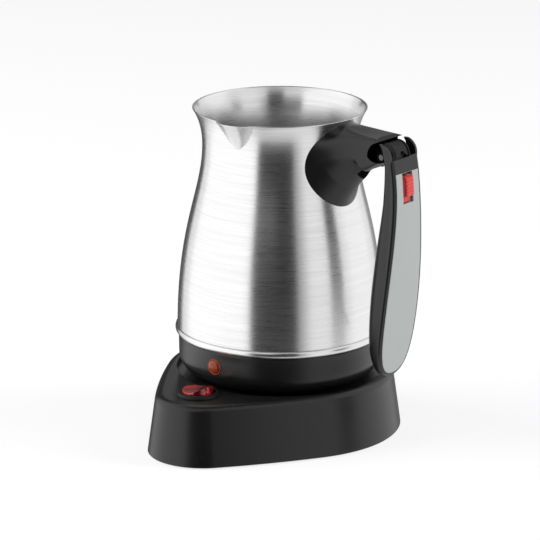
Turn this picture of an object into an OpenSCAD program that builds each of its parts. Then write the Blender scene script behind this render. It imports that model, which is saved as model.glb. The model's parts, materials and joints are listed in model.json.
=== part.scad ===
// Electric Turkish coffee maker: a steel pot with a folding handle on a corded switch base.
// Millimetres, +Z up. The origin is on the table, on the pot's axis. The switch lobe points
// to -Y, the handle to +X and the cord outlet to +Y.

/* [Base] */
// Height of the base top above the table
base_h = 33; // [32:0.5:34]
// Radius of the round back of the base
base_r = 65.5; // [65:0.5:67]
// How far behind the pot's axis the round back is centred
base_back = 0; // [-1:0.5:1]
// Radius of the lobe that carries the switch
lobe_r = 30; // [29:0.5:31]
// Distance from the pot axis to the tip of the lobe
lobe_reach = 93.4; // [93:0.2:94]
// Radius of the two side arcs that join lobe and back
side_r = 380; // [300:10:400]
// Draft of the side walls, from foot to top edge
base_draft = 4; // [3.5:0.5:4.5]
// Rounding of the top edge
base_edge = 4; // [3:0.5:4]
// Wall thickness of the plastic mouldings
shell = 2.4; // [2:0.1:2.6]
// Radius of the round seat sunk into the top
seat_r = 55.5; // [55:0.1:56]
// Depth of the seat
seat_depth = 3; // [2.8:0.1:3.2]
// Gap between the housing and the table
foot_gap = 0.6; // [0.5:0.1:1]

/* [Switch] */
// Distance from the pot axis to the middle of the switch
switch_y = 67.6; // [67.4:0.1:68.4]
// Diameter of the switch bezel
bezel_d = 23; // [22.6:0.1:23]
// Diameter of the hole that the switch snaps into
switch_hole_d = 20; // [19.8:0.1:20.2]
// Height of the bezel above the base
bezel_h = 2; // [1.6:0.1:2.4]
// Angle that the rocker leans to each side
rocker_tilt = 10; // [8:0.5:10]

/* [Pot] */
// Height of the skirt between the base top and the steel
skirt_h = 20.5; // [20:0.5:21]
// Radius of the skirt's side
skirt_r = 54.5; // [54.3:0.1:54.7]
// Height of the steel vessel above the skirt
vessel_h = 123; // [121:0.5:125]
// Radius of the vessel at its foot
foot_r = 55.3; // [55:0.1:55.6]
// Radius of the neck
neck_r = 41.4; // [41:0.1:42]
// Height of the neck above the skirt
neck_z = 103; // [102:0.5:104]
// Radius of the rim
rim_r = 46.7; // [46:0.1:47.5]
// Thickness of the steel sheet
sheet = 1; // [0.8:0.1:1.1]
// Height of the rolled hem at the foot
hem_h = 3.6; // [3:0.1:4]
// How far the hem stands out
hem_out = 1.2; // [0.8:0.1:1.4]

/* [Spout] */
// Turn of the spout from the switch towards the handle
spout_turn = 7.5; // [0:0.5:10]
// Width of the spout at the rim
spout_w = 22.6; // [21:0.2:24]
// Depth of the spout's tip below the rim
spout_drop = 14.6; // [13:0.2:15]
// How far the lip stands beyond the rim
spout_out = 4.2; // [3:0.1:4.4]

/* [Handle] */
// Distance from the pot axis to the hinge axis
hinge_x = 75.6; // [75.4:0.1:76]
// Height of the hinge axis above the skirt
hinge_up = 109.2; // [109:0.1:109.6]
// Radius of the handle's ears
ear_r = 7.5; // [7.3:0.1:7.6]
// Radius of the hinge knuckle between the ears
knuckle_r = 6.6; // [6.4:0.1:6.8]
// Radius of the hinge pin
pin_r = 1.6; // [1.4:0.1:1.8]
// Half width of the handle at the hinge
ear_y = 11.4; // [11:0.1:11.6]
// Half width of the handle at its broadest
grip_y = 15.2; // [14.8:0.1:15.4]
// Height of the bevel round the handle's front
bevel = 1.5; // [1.2:0.1:1.8]
// Radius of the bracket's round foot on the vessel
flange_r = 23.2; // [22.8:0.1:23.4]
// Half width of the bracket where it meets the hinge
neck_y = 10.8; // [10.6:0.1:11]

/* [Latch] */
// Travel of the slide button
latch_travel = 3.2; // [2.8:0.1:3.4]
// Height of the slide button
button_h = 12.2; // [12:0.1:12.3]
// Width of the slide button
button_w = 7.8; // [7.4:0.1:8]
// How far the button stands out of the handle
button_out = 2; // [1.5:0.1:2.4]

/* [Coupling] */
// Radius of the turret that carries the pot's socket
turret_r = 16; // [15.5:0.1:16]
// Height of the turret above the seat
turret_h = 9; // [8.5:0.1:9.2]
// Radial gap between the turret and its turning ring
turn_gap = 0.08; // [0.05:0.01:0.1]

/* [Hidden] */

big = 400;
eps = 0.01;
lobe_d = lobe_reach - lobe_r;
seat_z = base_h - seat_depth;
steel_z = base_h + skirt_h;
rim_z = steel_z + vessel_h;
hinge_z = steel_z + hinge_up;

// Colours
black = [0.09, 0.09, 0.095];
charcoal = [0.16, 0.165, 0.165];
steel = [0.78, 0.78, 0.79];
grey = [0.66, 0.68, 0.69];
red = [0.8, 0.1, 0.08];
amber = [0.55, 0.13, 0.04];
brass = [0.8, 0.65, 0.3];
rubber = [0.05, 0.05, 0.05];

// ---------- curves and lofts ----------

function mix(a, b, t) = a + (b - a) * t;
// Point of a cubic Bezier curve with the four control points p
function bez(p, t) = pow(1 - t, 3) * p[0] + 3 * pow(1 - t, 2) * t * p[1]
    + 3 * (1 - t) * t * t * p[2] + pow(t, 3) * p[3];
// Parameter at which coordinate k of a falling or rising curve reaches v, by halving
function bez_at(p, k, v, lo = 0, hi = 1, n = 24) = n == 0 ? (lo + hi) / 2
    : let (m = (lo + hi) / 2, up = p[3][k] > p[0][k], low = bez(p, m)[k] < v)
      up == low ? bez_at(p, k, v, m, hi, n - 1) : bez_at(p, k, v, lo, m, n - 1);
function curve(p, n, from = 0) = [for (i = [from:n]) bez(p, i / n)];

// Closed skin through rings of equally many points, each counterclockwise seen from the last
module loft(rings) {
    n = len(rings[0]);
    m = len(rings);
    sides = [for (i = [0:m - 2], j = [0:n - 1]) let (k = (j + 1) % n)
        each [[i * n + j, (i + 1) * n + j, (i + 1) * n + k],
              [i * n + j, (i + 1) * n + k, i * n + k]]];
    foot = [for (j = [1:n - 2]) [0, j, j + 1]];
    top = [for (j = [1:n - 2]) [(m - 1) * n, (m - 1) * n + j + 1, (m - 1) * n + j]];
    polyhedron([for (r = rings) each r], concat(sides, foot, top));
}

// Prism of a profile drawn in X and Z, from y0 to y1
module along_y(y0, y1) {
    translate([0, y1, 0]) rotate([90, 0, 0]) linear_extrude(y1 - y0) children();
}

// Cylinder along Y
module bar_y(r, y0, y1, fn = 48) {
    translate([0, y0, 0]) rotate([-90, 0, 0]) cylinder(r = r, h = y1 - y0, $fn = fn);
}

// Pan-head screw pointing up, its head's seat at z = 0
module screw_up(r, length) {
    cylinder(r = r, h = length, $fn = 24);
    translate([0, 0, -1.2 * r])
        difference() {
            cylinder(r = 1.9 * r, h = 1.2 * r, $fn = 24);
            translate([-1.5 * r, -0.25 * r, -eps]) cube([3 * r, 0.5 * r, 0.5 * r]);
            translate([-0.25 * r, -1.5 * r, -eps]) cube([0.5 * r, 3 * r, 0.5 * r]);
        }
}

// ---------- base ----------

// The outline is four tangent arcs: lobe, two long sides and the round back. The side arcs'
// centre follows from touching both circles from within.
span = lobe_d + base_back;
arc_u = (pow(side_r - base_r, 2) - pow(side_r - lobe_r, 2) + span * span) / (2 * span);
arc_v = sqrt(pow(side_r - base_r, 2) - arc_u * arc_u);
lobe_a = atan2(arc_v, span - arc_u);
back_a = atan2(arc_v, -arc_u);

// Outline point whose normal is turned by d from -Y, with the outline moved in by inset
function egg(d, inset) =
    let (out = [sin(d), -cos(d)], s = d < 0 ? -1 : 1)
    abs(d) <= lobe_a ? [0, -lobe_d] + (lobe_r - inset) * out
    : abs(d) <= back_a ? [-s * arc_v, base_back - arc_u] + (side_r - inset) * out
    : [0, base_back] + (base_r - inset) * out;
function egg_ring(z, inset, n = 76) = [for (i = [0:n - 1])
    let (p = egg(-180 + 360 * (i + 0.5) / n, inset)) [p[0], p[1], z]];

cover_t = 2;
cover_z = foot_gap + 0.6;
screw_at = [[45, 18], [-45, 18], [33, -38], [-33, -38]];
foot_at = [[33, 41], [-33, 41], [17, -66], [-17, -66]];
gland_z = 13;
gland_r = 3.4;
gland_seat = base_r + base_back - 3.4;
clamp_x = 8;
clamp_y = 44;
flange_t = 2.5;
coupler_flange_r = 24;
coupler_screw_r = 20.6;

module base_outside() {
    edge = [for (a = [0:18:90]) egg_ring(base_h - base_edge * (1 - sin(a)),
        base_draft + base_edge * (1 - cos(a)))];
    loft(concat([egg_ring(foot_gap, 0.5), egg_ring(foot_gap + 0.6, 0)], edge));
}

module base_inside() {
    loft([egg_ring(foot_gap - 1, shell), egg_ring(base_h - base_edge - 1, base_draft + shell),
        egg_ring(base_h - shell, base_draft + shell + 3)]);
}

module base_housing() {
    color(charcoal) difference() {
        base_outside();
        difference() {
            base_inside();
            // floor of the seat
            translate([0, 0, seat_z - shell]) cylinder(r = seat_r + shell, h = 40, $fn = 96);
            // screw bosses
            for (p = screw_at) translate([p[0], p[1], cover_z + cover_t])
                cylinder(r = 3.6, h = 40, $fn = 32);
            // posts of the cord clamp
            for (s = [-1, 1]) translate([s * clamp_x, clamp_y, gland_z - gland_r])
                cylinder(r = 3, h = 40, $fn = 32);
            // pad behind the cord outlet
            translate([0, 0, gland_z]) bar_y(8, 54, 70);
        }
        translate([0, 0, seat_z]) cylinder(r = seat_r, h = 40, $fn = 96);
        cylinder(r = turret_r + 0.3, h = big, $fn = 64);
        translate([0, -switch_y, 0]) cylinder(d = switch_hole_d, h = big, $fn = 64);
        translate([0, 0, gland_z]) bar_y(5, 40, 90);
        translate([0, 0, gland_z]) bar_y(6.6, gland_seat, 90);
        for (p = screw_at) translate([p[0], p[1], 0]) cylinder(r = 1.2, h = 16, $fn = 24);
        for (s = [-1, 1]) translate([s * clamp_x, clamp_y, 0]) cylinder(r = 1.1, h = 18, $fn = 24);
        for (a = [30, 150, 270]) rotate(a) translate([coupler_screw_r, 0, seat_z - shell - eps])
            cylinder(r = 1.1, h = 1.9, $fn = 24);
    }
}

module base_cover() {
    color(black) difference() {
        loft([egg_ring(cover_z, shell + 0.5), egg_ring(cover_z + cover_t, shell + 0.9)]);
        for (p = screw_at) translate([p[0], p[1], 0]) cylinder(r = 1.6, h = 10, $fn = 24);
        for (p = foot_at) translate([p[0], p[1], -eps])
            cylinder(r = 6.1, h = cover_z + 0.8 + eps, $fn = 48);
        // cooling slots
        for (i = [-3:3]) translate([i * 7 - 1, -16, -eps]) cube([2, 32, 10]);
    }
}

module rubber_feet() {
    color(rubber) for (p = foot_at) translate([p[0], p[1], 0])
        rotate_extrude($fn = 48)
            polygon([[0, 0], [4.8, 0], [5.4, 0.5], [6, cover_z], [6, cover_z + 0.8],
                [0, cover_z + 0.8]]);
}

module base_screws() {
    color(steel) for (p = screw_at) translate([p[0], p[1], cover_z]) screw_up(1.2, 13);
}

module cord_gland() {
    color(rubber) translate([0, 0, gland_z]) rotate([-90, 0, 0]) difference() {
        rotate_extrude($fn = 64) polygon([[0, 50], [4.9, 50], [4.9, gland_seat],
            [6.5, gland_seat], [6.5, gland_seat + 2.6], [5.8, gland_seat + 3.4],
            [0, gland_seat + 3.4]]);
        translate([0, 0, 40]) cylinder(r = gland_r, h = 40, $fn = 64);
    }
}

module cord_clamp() {
    color(black) difference() {
        translate([-clamp_x - 3.2, clamp_y - 3.2, gland_z - gland_r - 3])
            cube([2 * clamp_x + 6.4, 6.4, 3]);
        for (s = [-1, 1]) translate([s * clamp_x, clamp_y, 0]) cylinder(r = 1.3, h = 20, $fn = 24);
        translate([0, 0, gland_z]) bar_y(gland_r + 0.4, clamp_y - 4, clamp_y + 4);
    }
}

module cord_clamp_screws() {
    color(steel) for (s = [-1, 1])
        translate([s * clamp_x, clamp_y, gland_z - gland_r - 3]) screw_up(1.1, 9);
}

// ---------- switch ----------

rocker_r = 7.9;
rocker_z = base_h - 2;
bezel_in = 9;

module switch_body() {
    color(black) translate([0, -switch_y, 0]) difference() {
        rotate_extrude($fn = 72) polygon([[0, base_h - 14], [9.2, base_h - 14],
            [switch_hole_d / 2 - 0.1, base_h - 13], [switch_hole_d / 2 - 0.1, base_h],
            [bezel_d / 2, base_h], [bezel_d / 2, base_h + 0.5],
            [bezel_d / 2 - 0.4, base_h + 1.2], [bezel_d / 2 - 1.4, base_h + bezel_h],
            [bezel_in + 0.4, base_h + bezel_h], [bezel_in, base_h + bezel_h - 0.4],
            [bezel_in, base_h - 7], [0, base_h - 7]]);
        translate([0, 0, rocker_z]) bar_y(1.26, -12, 12, 32);
    }
}

module switch_terminals() {
    color(brass) translate([0, -switch_y, base_h - 22]) for (i = [-1:1])
        translate([i * 5.5 - 0.4, -2.4, 0]) cube([0.8, 4.8, 8]);
}

// A round rocker, hollowed in the middle, with round flanks about its own pivot
module rocker_button() {
    dip = 4.9;
    tip = 6.1;
    color(red) translate([0, -switch_y, rocker_z]) rotate([0, -rocker_tilt, 0]) {
        intersection() {
            translate([0, 0, -5]) cylinder(r = rocker_r, h = 12, $fn = 64);
            along_y(-9, 9) polygon(concat([for (a = [200:10:340]) 3.4 * [cos(a), sin(a)]],
                [[rocker_r + 0.3, 2.4], [rocker_r, tip], [rocker_r - 1.6, tip], [1.4, dip],
                 [-1.4, dip], [1.6 - rocker_r, tip], [-rocker_r, tip], [-rocker_r - 0.3, 2.4]]));
        }
        bar_y(1.2, -9.6, 9.6, 32);
    }
}

// ---------- coupling between base and pot ----------

socket_r = turret_r + 0.6;
ring_in = 9.5;
ring_out = 12.9;
ring_h = 2.6;
pot_floor = seat_z + 0.05;
cover_top = seat_z + ring_h + 0.05;
socket_top = seat_z + turret_h + 0.6;
coupler_top = socket_top + 4.4;

module coupler_base() {
    top = seat_z + turret_h;
    low = seat_z - shell;
    color(black) difference() {
        rotate_extrude($fn = 72) polygon([[0, low - 9.6], [17.5, low - 9.6],
            [17.5, low - flange_t], [coupler_flange_r, low - flange_t], [coupler_flange_r, low],
            [turret_r, low], [turret_r, top - 0.6], [turret_r - 0.6, top], [ring_out, top],
            [ring_out, seat_z - 1], [ring_in, seat_z - 1], [ring_in, top], [3.4, top],
            [3.4, seat_z - 3], [0, seat_z - 3]]);
        for (a = [30, 150, 270]) rotate(a) translate([coupler_screw_r, 0, 0])
            cylinder(r = 1.3, h = 40, $fn = 24);
    }
}

module coupler_base_contacts() {
    color(brass) {
        rotate_extrude($fn = 72) polygon([[ring_out - 0.8, seat_z - 1], [ring_out, seat_z - 1],
            [ring_out, seat_z + turret_h - 2], [ring_out - 0.8, seat_z + turret_h - 2]]);
        rotate_extrude($fn = 48) polygon([[2.6, seat_z - 3], [3.4, seat_z - 3],
            [3.4, seat_z + turret_h - 3], [2.6, seat_z + turret_h - 3]]);
        for (x = [-8, 0, 8]) translate([x - 0.4, -2.4, seat_z - shell - 17.6])
            cube([0.8, 4.8, 8]);
    }
}

module coupler_base_screws() {
    color(steel) for (a = [30, 150, 270]) rotate(a)
        translate([coupler_screw_r, 0, seat_z - shell - flange_t]) screw_up(1.1, flange_t + 1.8);
}

module coupler_turn_ring() {
    inner = turret_r + turn_gap;
    color(grey) rotate_extrude($fn = 72) polygon([[inner, seat_z + 0.02], [19.6, seat_z + 0.02],
        [19.6, seat_z + ring_h - 0.4], [19.2, seat_z + ring_h], [inner, seat_z + ring_h]]);
}

module coupler_pot() {
    color(black) difference() {
        rotate_extrude($fn = 72) polygon([[socket_r, cover_top], [29, cover_top],
            [29, cover_top + 2], [24, cover_top + 2], [24, coupler_top], [0, coupler_top],
            [0, socket_top], [socket_r, socket_top]]);
        cylinder(r = 2.2, h = big, $fn = 48);
    }
}

module coupler_pot_contacts() {
    color(brass) {
        translate([0, 0, seat_z - 1.5]) cylinder(r = 2.2, h = coupler_top + 1.5 - seat_z,
            $fn = 48);
        rotate_extrude($fn = 72) polygon([[10.4, seat_z + 0.5], [11, seat_z + 0.5],
            [11, socket_top], [10.4, socket_top]]);
        for (x = [-8, 8]) translate([x - 0.4, -2.4, coupler_top]) cube([0.8, 4.8, 4]);
    }
}

// ---------- pot ----------

// Vessel profile in radius and height above the skirt: belly, then flared lip
belly = [[foot_r, 0], [foot_r, 60], [neck_r, 76], [neck_r, neck_z]];
lip = [[neck_r, neck_z], [neck_r, neck_z + 9], [rim_r - 2.9, vessel_h - 4.5],
    [rim_r, vessel_h]];
function vessel_r(h) = h < neck_z ? bez(belly, bez_at(belly, 1, h))[0]
    : bez(lip, bez_at(lip, 1, h))[0];

function outside(grow = 0) = [for (p = concat(curve(belly, 18, 1), curve(lip, 9, 1)))
    if (p[1] > hem_h + 0.5) [p[0] + grow, p[1]]];
function reversed(v) = [for (i = [len(v) - 1:-1:0]) v[i]];
hem = [for (a = [-90:15:90]) [foot_r - 0.1 + hem_out * cos(a), hem_h / 2 * (1 + sin(a))]];

plate_t = 3;
plate_r = 46;
element_r = 34;
tube_r = 3.4;
element_gap = 28;

// Section through the spout at its share t of the rise: a rounded ridge between two creases
// that lie on the wall. The width grows with a power below one, which rounds the tip.
function spout_ring(t, z, thick, n = 9) =
    let (r = vessel_r(z), w = max(spout_w / 2 * pow(t, 0.62) - 1.3 * thick, 0.2))
    concat([for (k = [-n:n]) let (a = asin(w * k / n / r),
        out = r - 0.05 - thick + spout_out * t * (1 - pow(abs(k / n), 2.7)))
        [out * cos(a), out * sin(a), z]], [[28, 0.5 * w, z], [28, -0.5 * w, z]]);

module spout_wedge(thick) {
    low = spout_drop - 1.6 * thick;
    rings = [for (t = [0.02, 0.12, 0.3, 0.5, 0.75, 1]) spout_ring(t, vessel_h - low * (1 - t), thick)];
    rotate(-90 + spout_turn) loft(concat(rings, [[for (p = rings[5]) p + [0, 0, 0.6]]]));
}

module vessel() {
    color(steel) translate([0, 0, steel_z]) difference() {
        union() {
            rotate_extrude($fn = 96) polygon(concat([[0, 0]], hem, outside(),
                [[rim_r - sheet / 2, vessel_h + 0.25], [rim_r - sheet, vessel_h]],
                reversed(outside(-sheet)), [[foot_r - sheet, 3.6], [foot_r - 3, 1.4], [0, 1.4]]));
            intersection() {
                spout_wedge(0);
                difference() {
                    cylinder(r = 60, h = vessel_h, $fn = 96);
                    rotate_extrude($fn = 96) polygon(concat([[0, 0], [foot_r - sheet, 0]],
                        outside(-sheet), [[0, vessel_h]]));
                }
            }
        }
        spout_wedge(sheet);
    }
}

module heating_plate() {
    color(grey) translate([0, 0, steel_z - plate_t]) cylinder(r = plate_r, h = plate_t, $fn = 96);
}

// A sheathed ring under the plate, open at the back, with both ends turned down
module heating_element() {
    color(steel) translate([0, 0, steel_z - plate_t - tube_r]) {
        rotate(90 + element_gap) rotate_extrude(angle = 360 - 2 * element_gap, $fn = 72)
            translate([element_r, 0]) circle(r = tube_r, $fn = 32);
        for (s = [-1, 1]) rotate(90 + s * (element_gap + 6)) translate([element_r, 0, -7])
            cylinder(r = tube_r - 0.6, h = 7, $fn = 32);
    }
}

module element_terminals() {
    z = steel_z - plate_t - tube_r - 7;
    color(brass) for (s = [-1, 1]) rotate(90 + s * (element_gap + 6))
        translate([element_r, 0, z - 4]) cylinder(r = 1.6, h = 4, $fn = 24);
}

lamp_z = steel_z - 8.7;
lamp_r = 4.4;
skirt_low = cover_top - 0.6;
boss_r = 41.2;

module skirt() {
    edge_z = steel_z - 11;
    turn_r = 46;
    arc = [for (a = [0:-10:-90]) [turn_r + (skirt_r - turn_r) * cos(a),
        edge_z + (edge_z - skirt_low) * sin(a)]];
    inner = [for (a = [-80:20:0]) [turn_r - 3 + 8.6 * cos(a), edge_z + 0.5 + 7 * sin(a)]];
    color(black) difference() {
        union() {
            rotate_extrude($fn = 96) polygon(concat([[skirt_r + 0.4, steel_z - 0.05],
                [skirt_r + 0.1, steel_z - 2.5]], arc, [[44.8, skirt_low], [44.8, cover_top],
                [40, cover_top], [40, cover_top + 2]], inner, [[51.6, steel_z - 4.9],
                [49.8, steel_z - 4.4], [49.8, steel_z - 3.5], [52.6, steel_z - 3.5],
                [52.6, steel_z - 0.05]]));
            for (a = [90, 210, 330]) rotate(a) translate([boss_r, 0, cover_top + 0.6])
                cylinder(r = 3.2, h = 8.4, $fn = 32);
        }
        for (a = [90, 210, 330]) rotate(a) translate([boss_r, 0, 0])
            cylinder(r = 1.1, h = cover_top + 8, $fn = 24);
        translate([0, 0, lamp_z]) bar_y(3.6, -60, -40);
    }
}

module seal_ring() {
    color([0.75, 0.72, 0.68]) rotate_extrude($fn = 96) polygon([[plate_r + 0.6, steel_z - 3.5],
        [52.5, steel_z - 3.5], [52.5, steel_z - 0.05], [plate_r + 0.6, steel_z - 0.05]]);
}

module pot_cover() {
    color(black) difference() {
        rotate_extrude($fn = 96) polygon([[24.4, pot_floor], [43.4, pot_floor],
            [44.4, pot_floor + 1], [44.4, cover_top], [24.4, cover_top]]);
        for (a = [90, 210, 330]) rotate(a) translate([boss_r, 0, 0]) {
            cylinder(r = 1.3, h = 60, $fn = 24);
            cylinder(r = 2.4, h = pot_floor + 1.5, $fn = 24);
        }
    }
}

module pot_cover_screws() {
    color(steel) for (a = [90, 210, 330]) rotate(a) translate([boss_r, 0, pot_floor + 1.5])
        screw_up(1.1, 8);
}

module thermostat() {
    color(steel) rotate(200) translate([23, 0, coupler_top + 0.4]) {
        cylinder(r = 6.4, h = steel_z - plate_t - coupler_top - 0.4, $fn = 48);
        translate([-9, -2, 1]) cube([15.5, 4, 1.2]);
    }
}

module lamp_lens() {
    color(amber) translate([0, 0, lamp_z]) rotate([90, 0, 0]) rotate_extrude($fn = 64)
        polygon(concat([[0, 49], [3.55, 49], [3.55, skirt_r], [lamp_r, skirt_r],
            [lamp_r, skirt_r + 0.4]], [for (a = [15:15:90]) [lamp_r * cos(a),
            skirt_r + 0.4 + 1.3 * sin(a)]]));
}

module lamp_body() {
    color(steel) translate([0, 0, lamp_z]) difference() {
        bar_y(3.4, -49, -40.5, 32);
        bar_y(1.2, -43, -40, 24);
    }
}

// ---------- handle bracket and hinge ----------

// The bracket is a trumpet. Its mouth is a circle wrapped on the vessel; its end is a flat
// rounded box under the hinge. Sections between them shrink on curves of their own.
end_x = 73.2;
mouth_z = 98;
// the roof falls off towards both sides, and its end is chamfered from chamfer_x on
roof_arch = 1.6;
chamfer_x = 69.6;
roof = [[0, mouth_z + flange_r], [0.33, 119.4], [0.6, 118.4], [1, 118.5]];
keel = [[0, mouth_z - flange_r], [0.14, 80], [0.4, 91.5], [1, 106]];
flank = [[0, flange_r], [0.32, 13], [0.6, neck_y], [1, neck_y]];
function of_s(p, s) = bez(p, bez_at(p, 0, s))[1];
// Exponent of the section's outline: 2 is an ellipse, more is squarer
function square_at(s) = 2 + 9 * s * s;
function power(v, e) = sign(v) * pow(abs(v), e);

function bracket_point(s, a) =
    let (e = 2 / square_at(s), up = power(sin(a), e), side = power(cos(a), e),
         top = of_s(roof, s), low = of_s(keel, s), y = of_s(flank, s) * side,
         z = (top + low) / 2 + (top - low) / 2 * up - (up > 0 ? roof_arch * s * s * side * side : 0),
         y0 = flange_r * cos(a), z0 = mouth_z + flange_r * sin(a),
         x0 = sqrt(pow(vessel_r(z0), 2) - y0 * y0) - 0.8 * (1 - s))
    let (x = mix(x0, end_x, s)) [x, y, steel_z + min(z, roof[3][1] - 0.4 * (x - chamfer_x))];

bracket_steps = [0, 0.05, 0.1, 0.16, 0.23, 0.31, 0.4, 0.5, 0.6, 0.7, 0.8, 0.885, 1];
scoop_r = 8.5;
pin_y = 9.4;
knuckle_y = 7.4;
pocket_y = 6;
tail_x = 63.5;

module vessel_core(grow = 0) {
    translate([0, 0, steel_z]) rotate_extrude($fn = 96)
        polygon(concat([[0, 6], [foot_r + grow, 6]],
            [for (p = outside(grow)) if (p[1] > 6) p], [[0, vessel_h]]));
}

module at_hinge() {
    translate([hinge_x, 0, hinge_z]) children();
}

module handle_bracket() {
    n = 40;
    color(charcoal) difference() {
        loft([for (s = bracket_steps) [for (j = [0:n - 1]) bracket_point(s, 360 * j / n)]]);
        vessel_core();
        vessel_plate(1.65, 9.2, 12.2);
        // swing room of the ears and the knuckle's seat
        at_hinge() {
            bar_y(ear_r + 0.3, -20, 20, 72);
            intersection() {
                union() for (s = [-1, 1]) scale([1, s, 1]) bar_y(scoop_r, knuckle_y + 0.1, 20, 72);
                translate([-20, -20, -20]) cube([40, 40, 24]);
            }
        }
        // core open to below: the screws and the knuckle's tail sit in it
        along_y(-pocket_y, pocket_y) polygon([[51, steel_z + 60], [51, steel_z + 109],
            [54, steel_z + 113.4], [80, steel_z + 113.4], [80, steel_z + 106],
            [67.6, steel_z + 106], [67.6, steel_z + 60]]);
        for (h = [mouth_z - 7, mouth_z + 7]) translate([0, 0, steel_z + h]) rotate([0, 90, 0])
            cylinder(r = 1.7, h = 60, $fn = 24);
        translate([tail_x, 0, steel_z + 100]) cylinder(r = 1.1, h = 16, $fn = 24);
    }
}

// Curved plate that lies on the vessel, of half width y and half height z
module vessel_plate(t, y, z) {
    intersection() {
        difference() {
            vessel_core(t);
            vessel_core();
        }
        translate([30, -y, steel_z + mouth_z - z]) cube([30, 2 * y, 2 * z]);
    }
}

module bracket_plate() {
    color(steel) difference() {
        vessel_plate(1.6, 9, 12);
        for (h = [mouth_z - 7, mouth_z + 7]) translate([0, 0, steel_z + h]) rotate([0, 90, 0])
            cylinder(r = 1.5, h = 60, $fn = 24);
    }
}

module bracket_screws() {
    color(steel) for (h = [mouth_z - 7, mouth_z + 7]) translate([51, 0, steel_z + h])
        rotate([0, -90, 0]) screw_up(1.5, 8.4);
}

// Knuckle with flange rings and a latch groove, on a tail that fills the core of the bracket
module hinge_knuckle() {
    color(black) difference() {
        union() {
            at_hinge() {
                bar_y(knuckle_r, -knuckle_y, knuckle_y, 72);
                for (s = [-1, 1]) scale([1, s, 1])
                    bar_y(knuckle_r + 0.5, knuckle_y - 1.3, knuckle_y, 72);
            }
            along_y(-pocket_y + 0.05, pocket_y - 0.05) polygon([[60, steel_z + 109.4],
                [60, steel_z + 113.3], [hinge_x - 3, steel_z + 113.3], [hinge_x, hinge_z],
                [hinge_x - 3, steel_z + 106.4], [69, steel_z + 106.4], [66.3, steel_z + 109.4]]);
        }
        at_hinge() {
            bar_y(pin_r, -20, 20, 32);
            // groove that the latch rides in, narrowing to its stop: start, angle, width
            for (g = [[-70, 72, 8.8], [1, 8, 5.6], [8, 13, 2.8]]) rotate([90, 0, 0])
                rotate([0, 0, g[0]]) translate([0, 0, -g[2] / 2])
                    rotate_extrude(angle = g[1], $fn = 72) translate([knuckle_r - 1.8, 0])
                        square([4, g[2]]);
        }
        translate([tail_x, 0, 0]) cylinder(r = 1.3, h = big, $fn = 24);
    }
}

module knuckle_screw() {
    color(steel) translate([tail_x, 0, steel_z + 109.4]) screw_up(1.1, 6.4);
}

module hinge_pin() {
    color(steel) at_hinge() bar_y(pin_r, -pin_y, pin_y, 32);
}

// ---------- handle ----------

// Heights and radii are for the handle folded down. The front face and the back are curves
// in X and Z, the outline is a curve in Y and Z.
toe_z = 42;
bridge_top = hinge_z - 0.5;
face = [[hinge_x + 8.2, bridge_top], [hinge_x + 13.7, 140], [86, 95], [76.6, toe_z]];
back = [[77.2, 157], [75.5, 128], [68.8, 103], [68.9, 62]];
heel = [[68.9, 62], [68.9, 54], [70.6, 46], [74, toe_z]];
edge_top = [[ear_y, 152], [ear_y, 128], [grip_y, 105], [grip_y, 78]];
edge_toe = [[grip_y, 78], [grip_y, 58], [13.5, toe_z], [0, toe_z]];

function face_x(z) = bez(face, bez_at(face, 1, z))[0];
function back_x(z) = z > heel[0][1] ? bez(back, bez_at(back, 1, z))[0]
    : bez(heel, bez_at(heel, 1, z))[0];
// Outline point and its outward normal, u from 0 at the bridge to 1 at the toe
function edge_point(u) = u < 0.12 ? [ear_y, mix(bridge_top, 152, u / 0.12)]
    : u < 0.55 ? bez(edge_top, (u - 0.12) / 0.43) : bez(edge_toe, (u - 0.55) / 0.45);
function edge_inset(u, d) = let (p = edge_point(u), q = edge_point(min(u + 0.005, 1)),
    r = edge_point(max(u - 0.005, 0)), t = (q - r) / norm(q - r)) [p[0] + d * t[1], p[1] - d * t[0]];
function half_width(z) = z >= 152 ? ear_y : z > 78 ? bez(edge_top, bez_at(edge_top, 1, z))[0]
    : bez(edge_toe, bez_at(edge_toe, 1, z))[0];

rim_back = bevel + 0.15;
cheek_t = 1.4;
body_top = 157;
grip_levels = concat([for (a = [4:7:88]) toe_z + 0.15 + (78 - toe_z) * (1 - cos(a))],
    [for (z = [84:8:body_top - 1]) z], [body_top]);

// D-shaped section: flat in front, rounded behind
function grip_ring(z, n = 16) =
    let (w = half_width(z), x1 = face_x(z) - rim_back, x0 = min(back_x(z), x1 - 2.5), e = 0.55)
    [for (j = [0:n]) let (a = 180 * j / n)
        [x1 - (x1 - x0) * power(sin(a), e), w * power(cos(a), e), z]];

// Slab that follows the front face: outline inset and depth behind the face for each layer
module shield(layers, u0 = 0, n = 44) {
    us = [for (i = [0:n]) mix(u0, 0.995, i / n)];
    m = len(us);
    pts = [for (l = layers) each concat(
        [for (u = us) let (p = edge_inset(u, l[0])) [face_x(p[1]) + l[1], -p[0], p[1]]],
        [for (u = reversed(us)) let (p = edge_inset(u, l[0])) [face_x(p[1]) + l[1], p[0], p[1]]])];
    k = 2 * m;
    walls = [for (i = [0:len(layers) - 2], j = [0:k - 1]) let (q = (j + 1) % k)
        each [[i * k + j, (i + 1) * k + j, (i + 1) * k + q], [i * k + j, (i + 1) * k + q, i * k + q]]];
    last = (len(layers) - 1) * k;
    lids = [for (j = [0:m - 2]) each [
        [j, j + 1, k - 1 - j], [j + 1, k - 2 - j, k - 1 - j],
        [last + j, last + k - 1 - j, last + j + 1], [last + j + 1, last + k - 1 - j, last + k - 2 - j]]];
    polyhedron(pts, concat(walls, lids));
}

window_w = 8.4;
plate_u = 0.086;
window_top = edge_point(plate_u)[1] - 0.1;
window_low = window_top - 16.4;
button_top = window_top - 0.9;
slider_x = 78.8;

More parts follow.
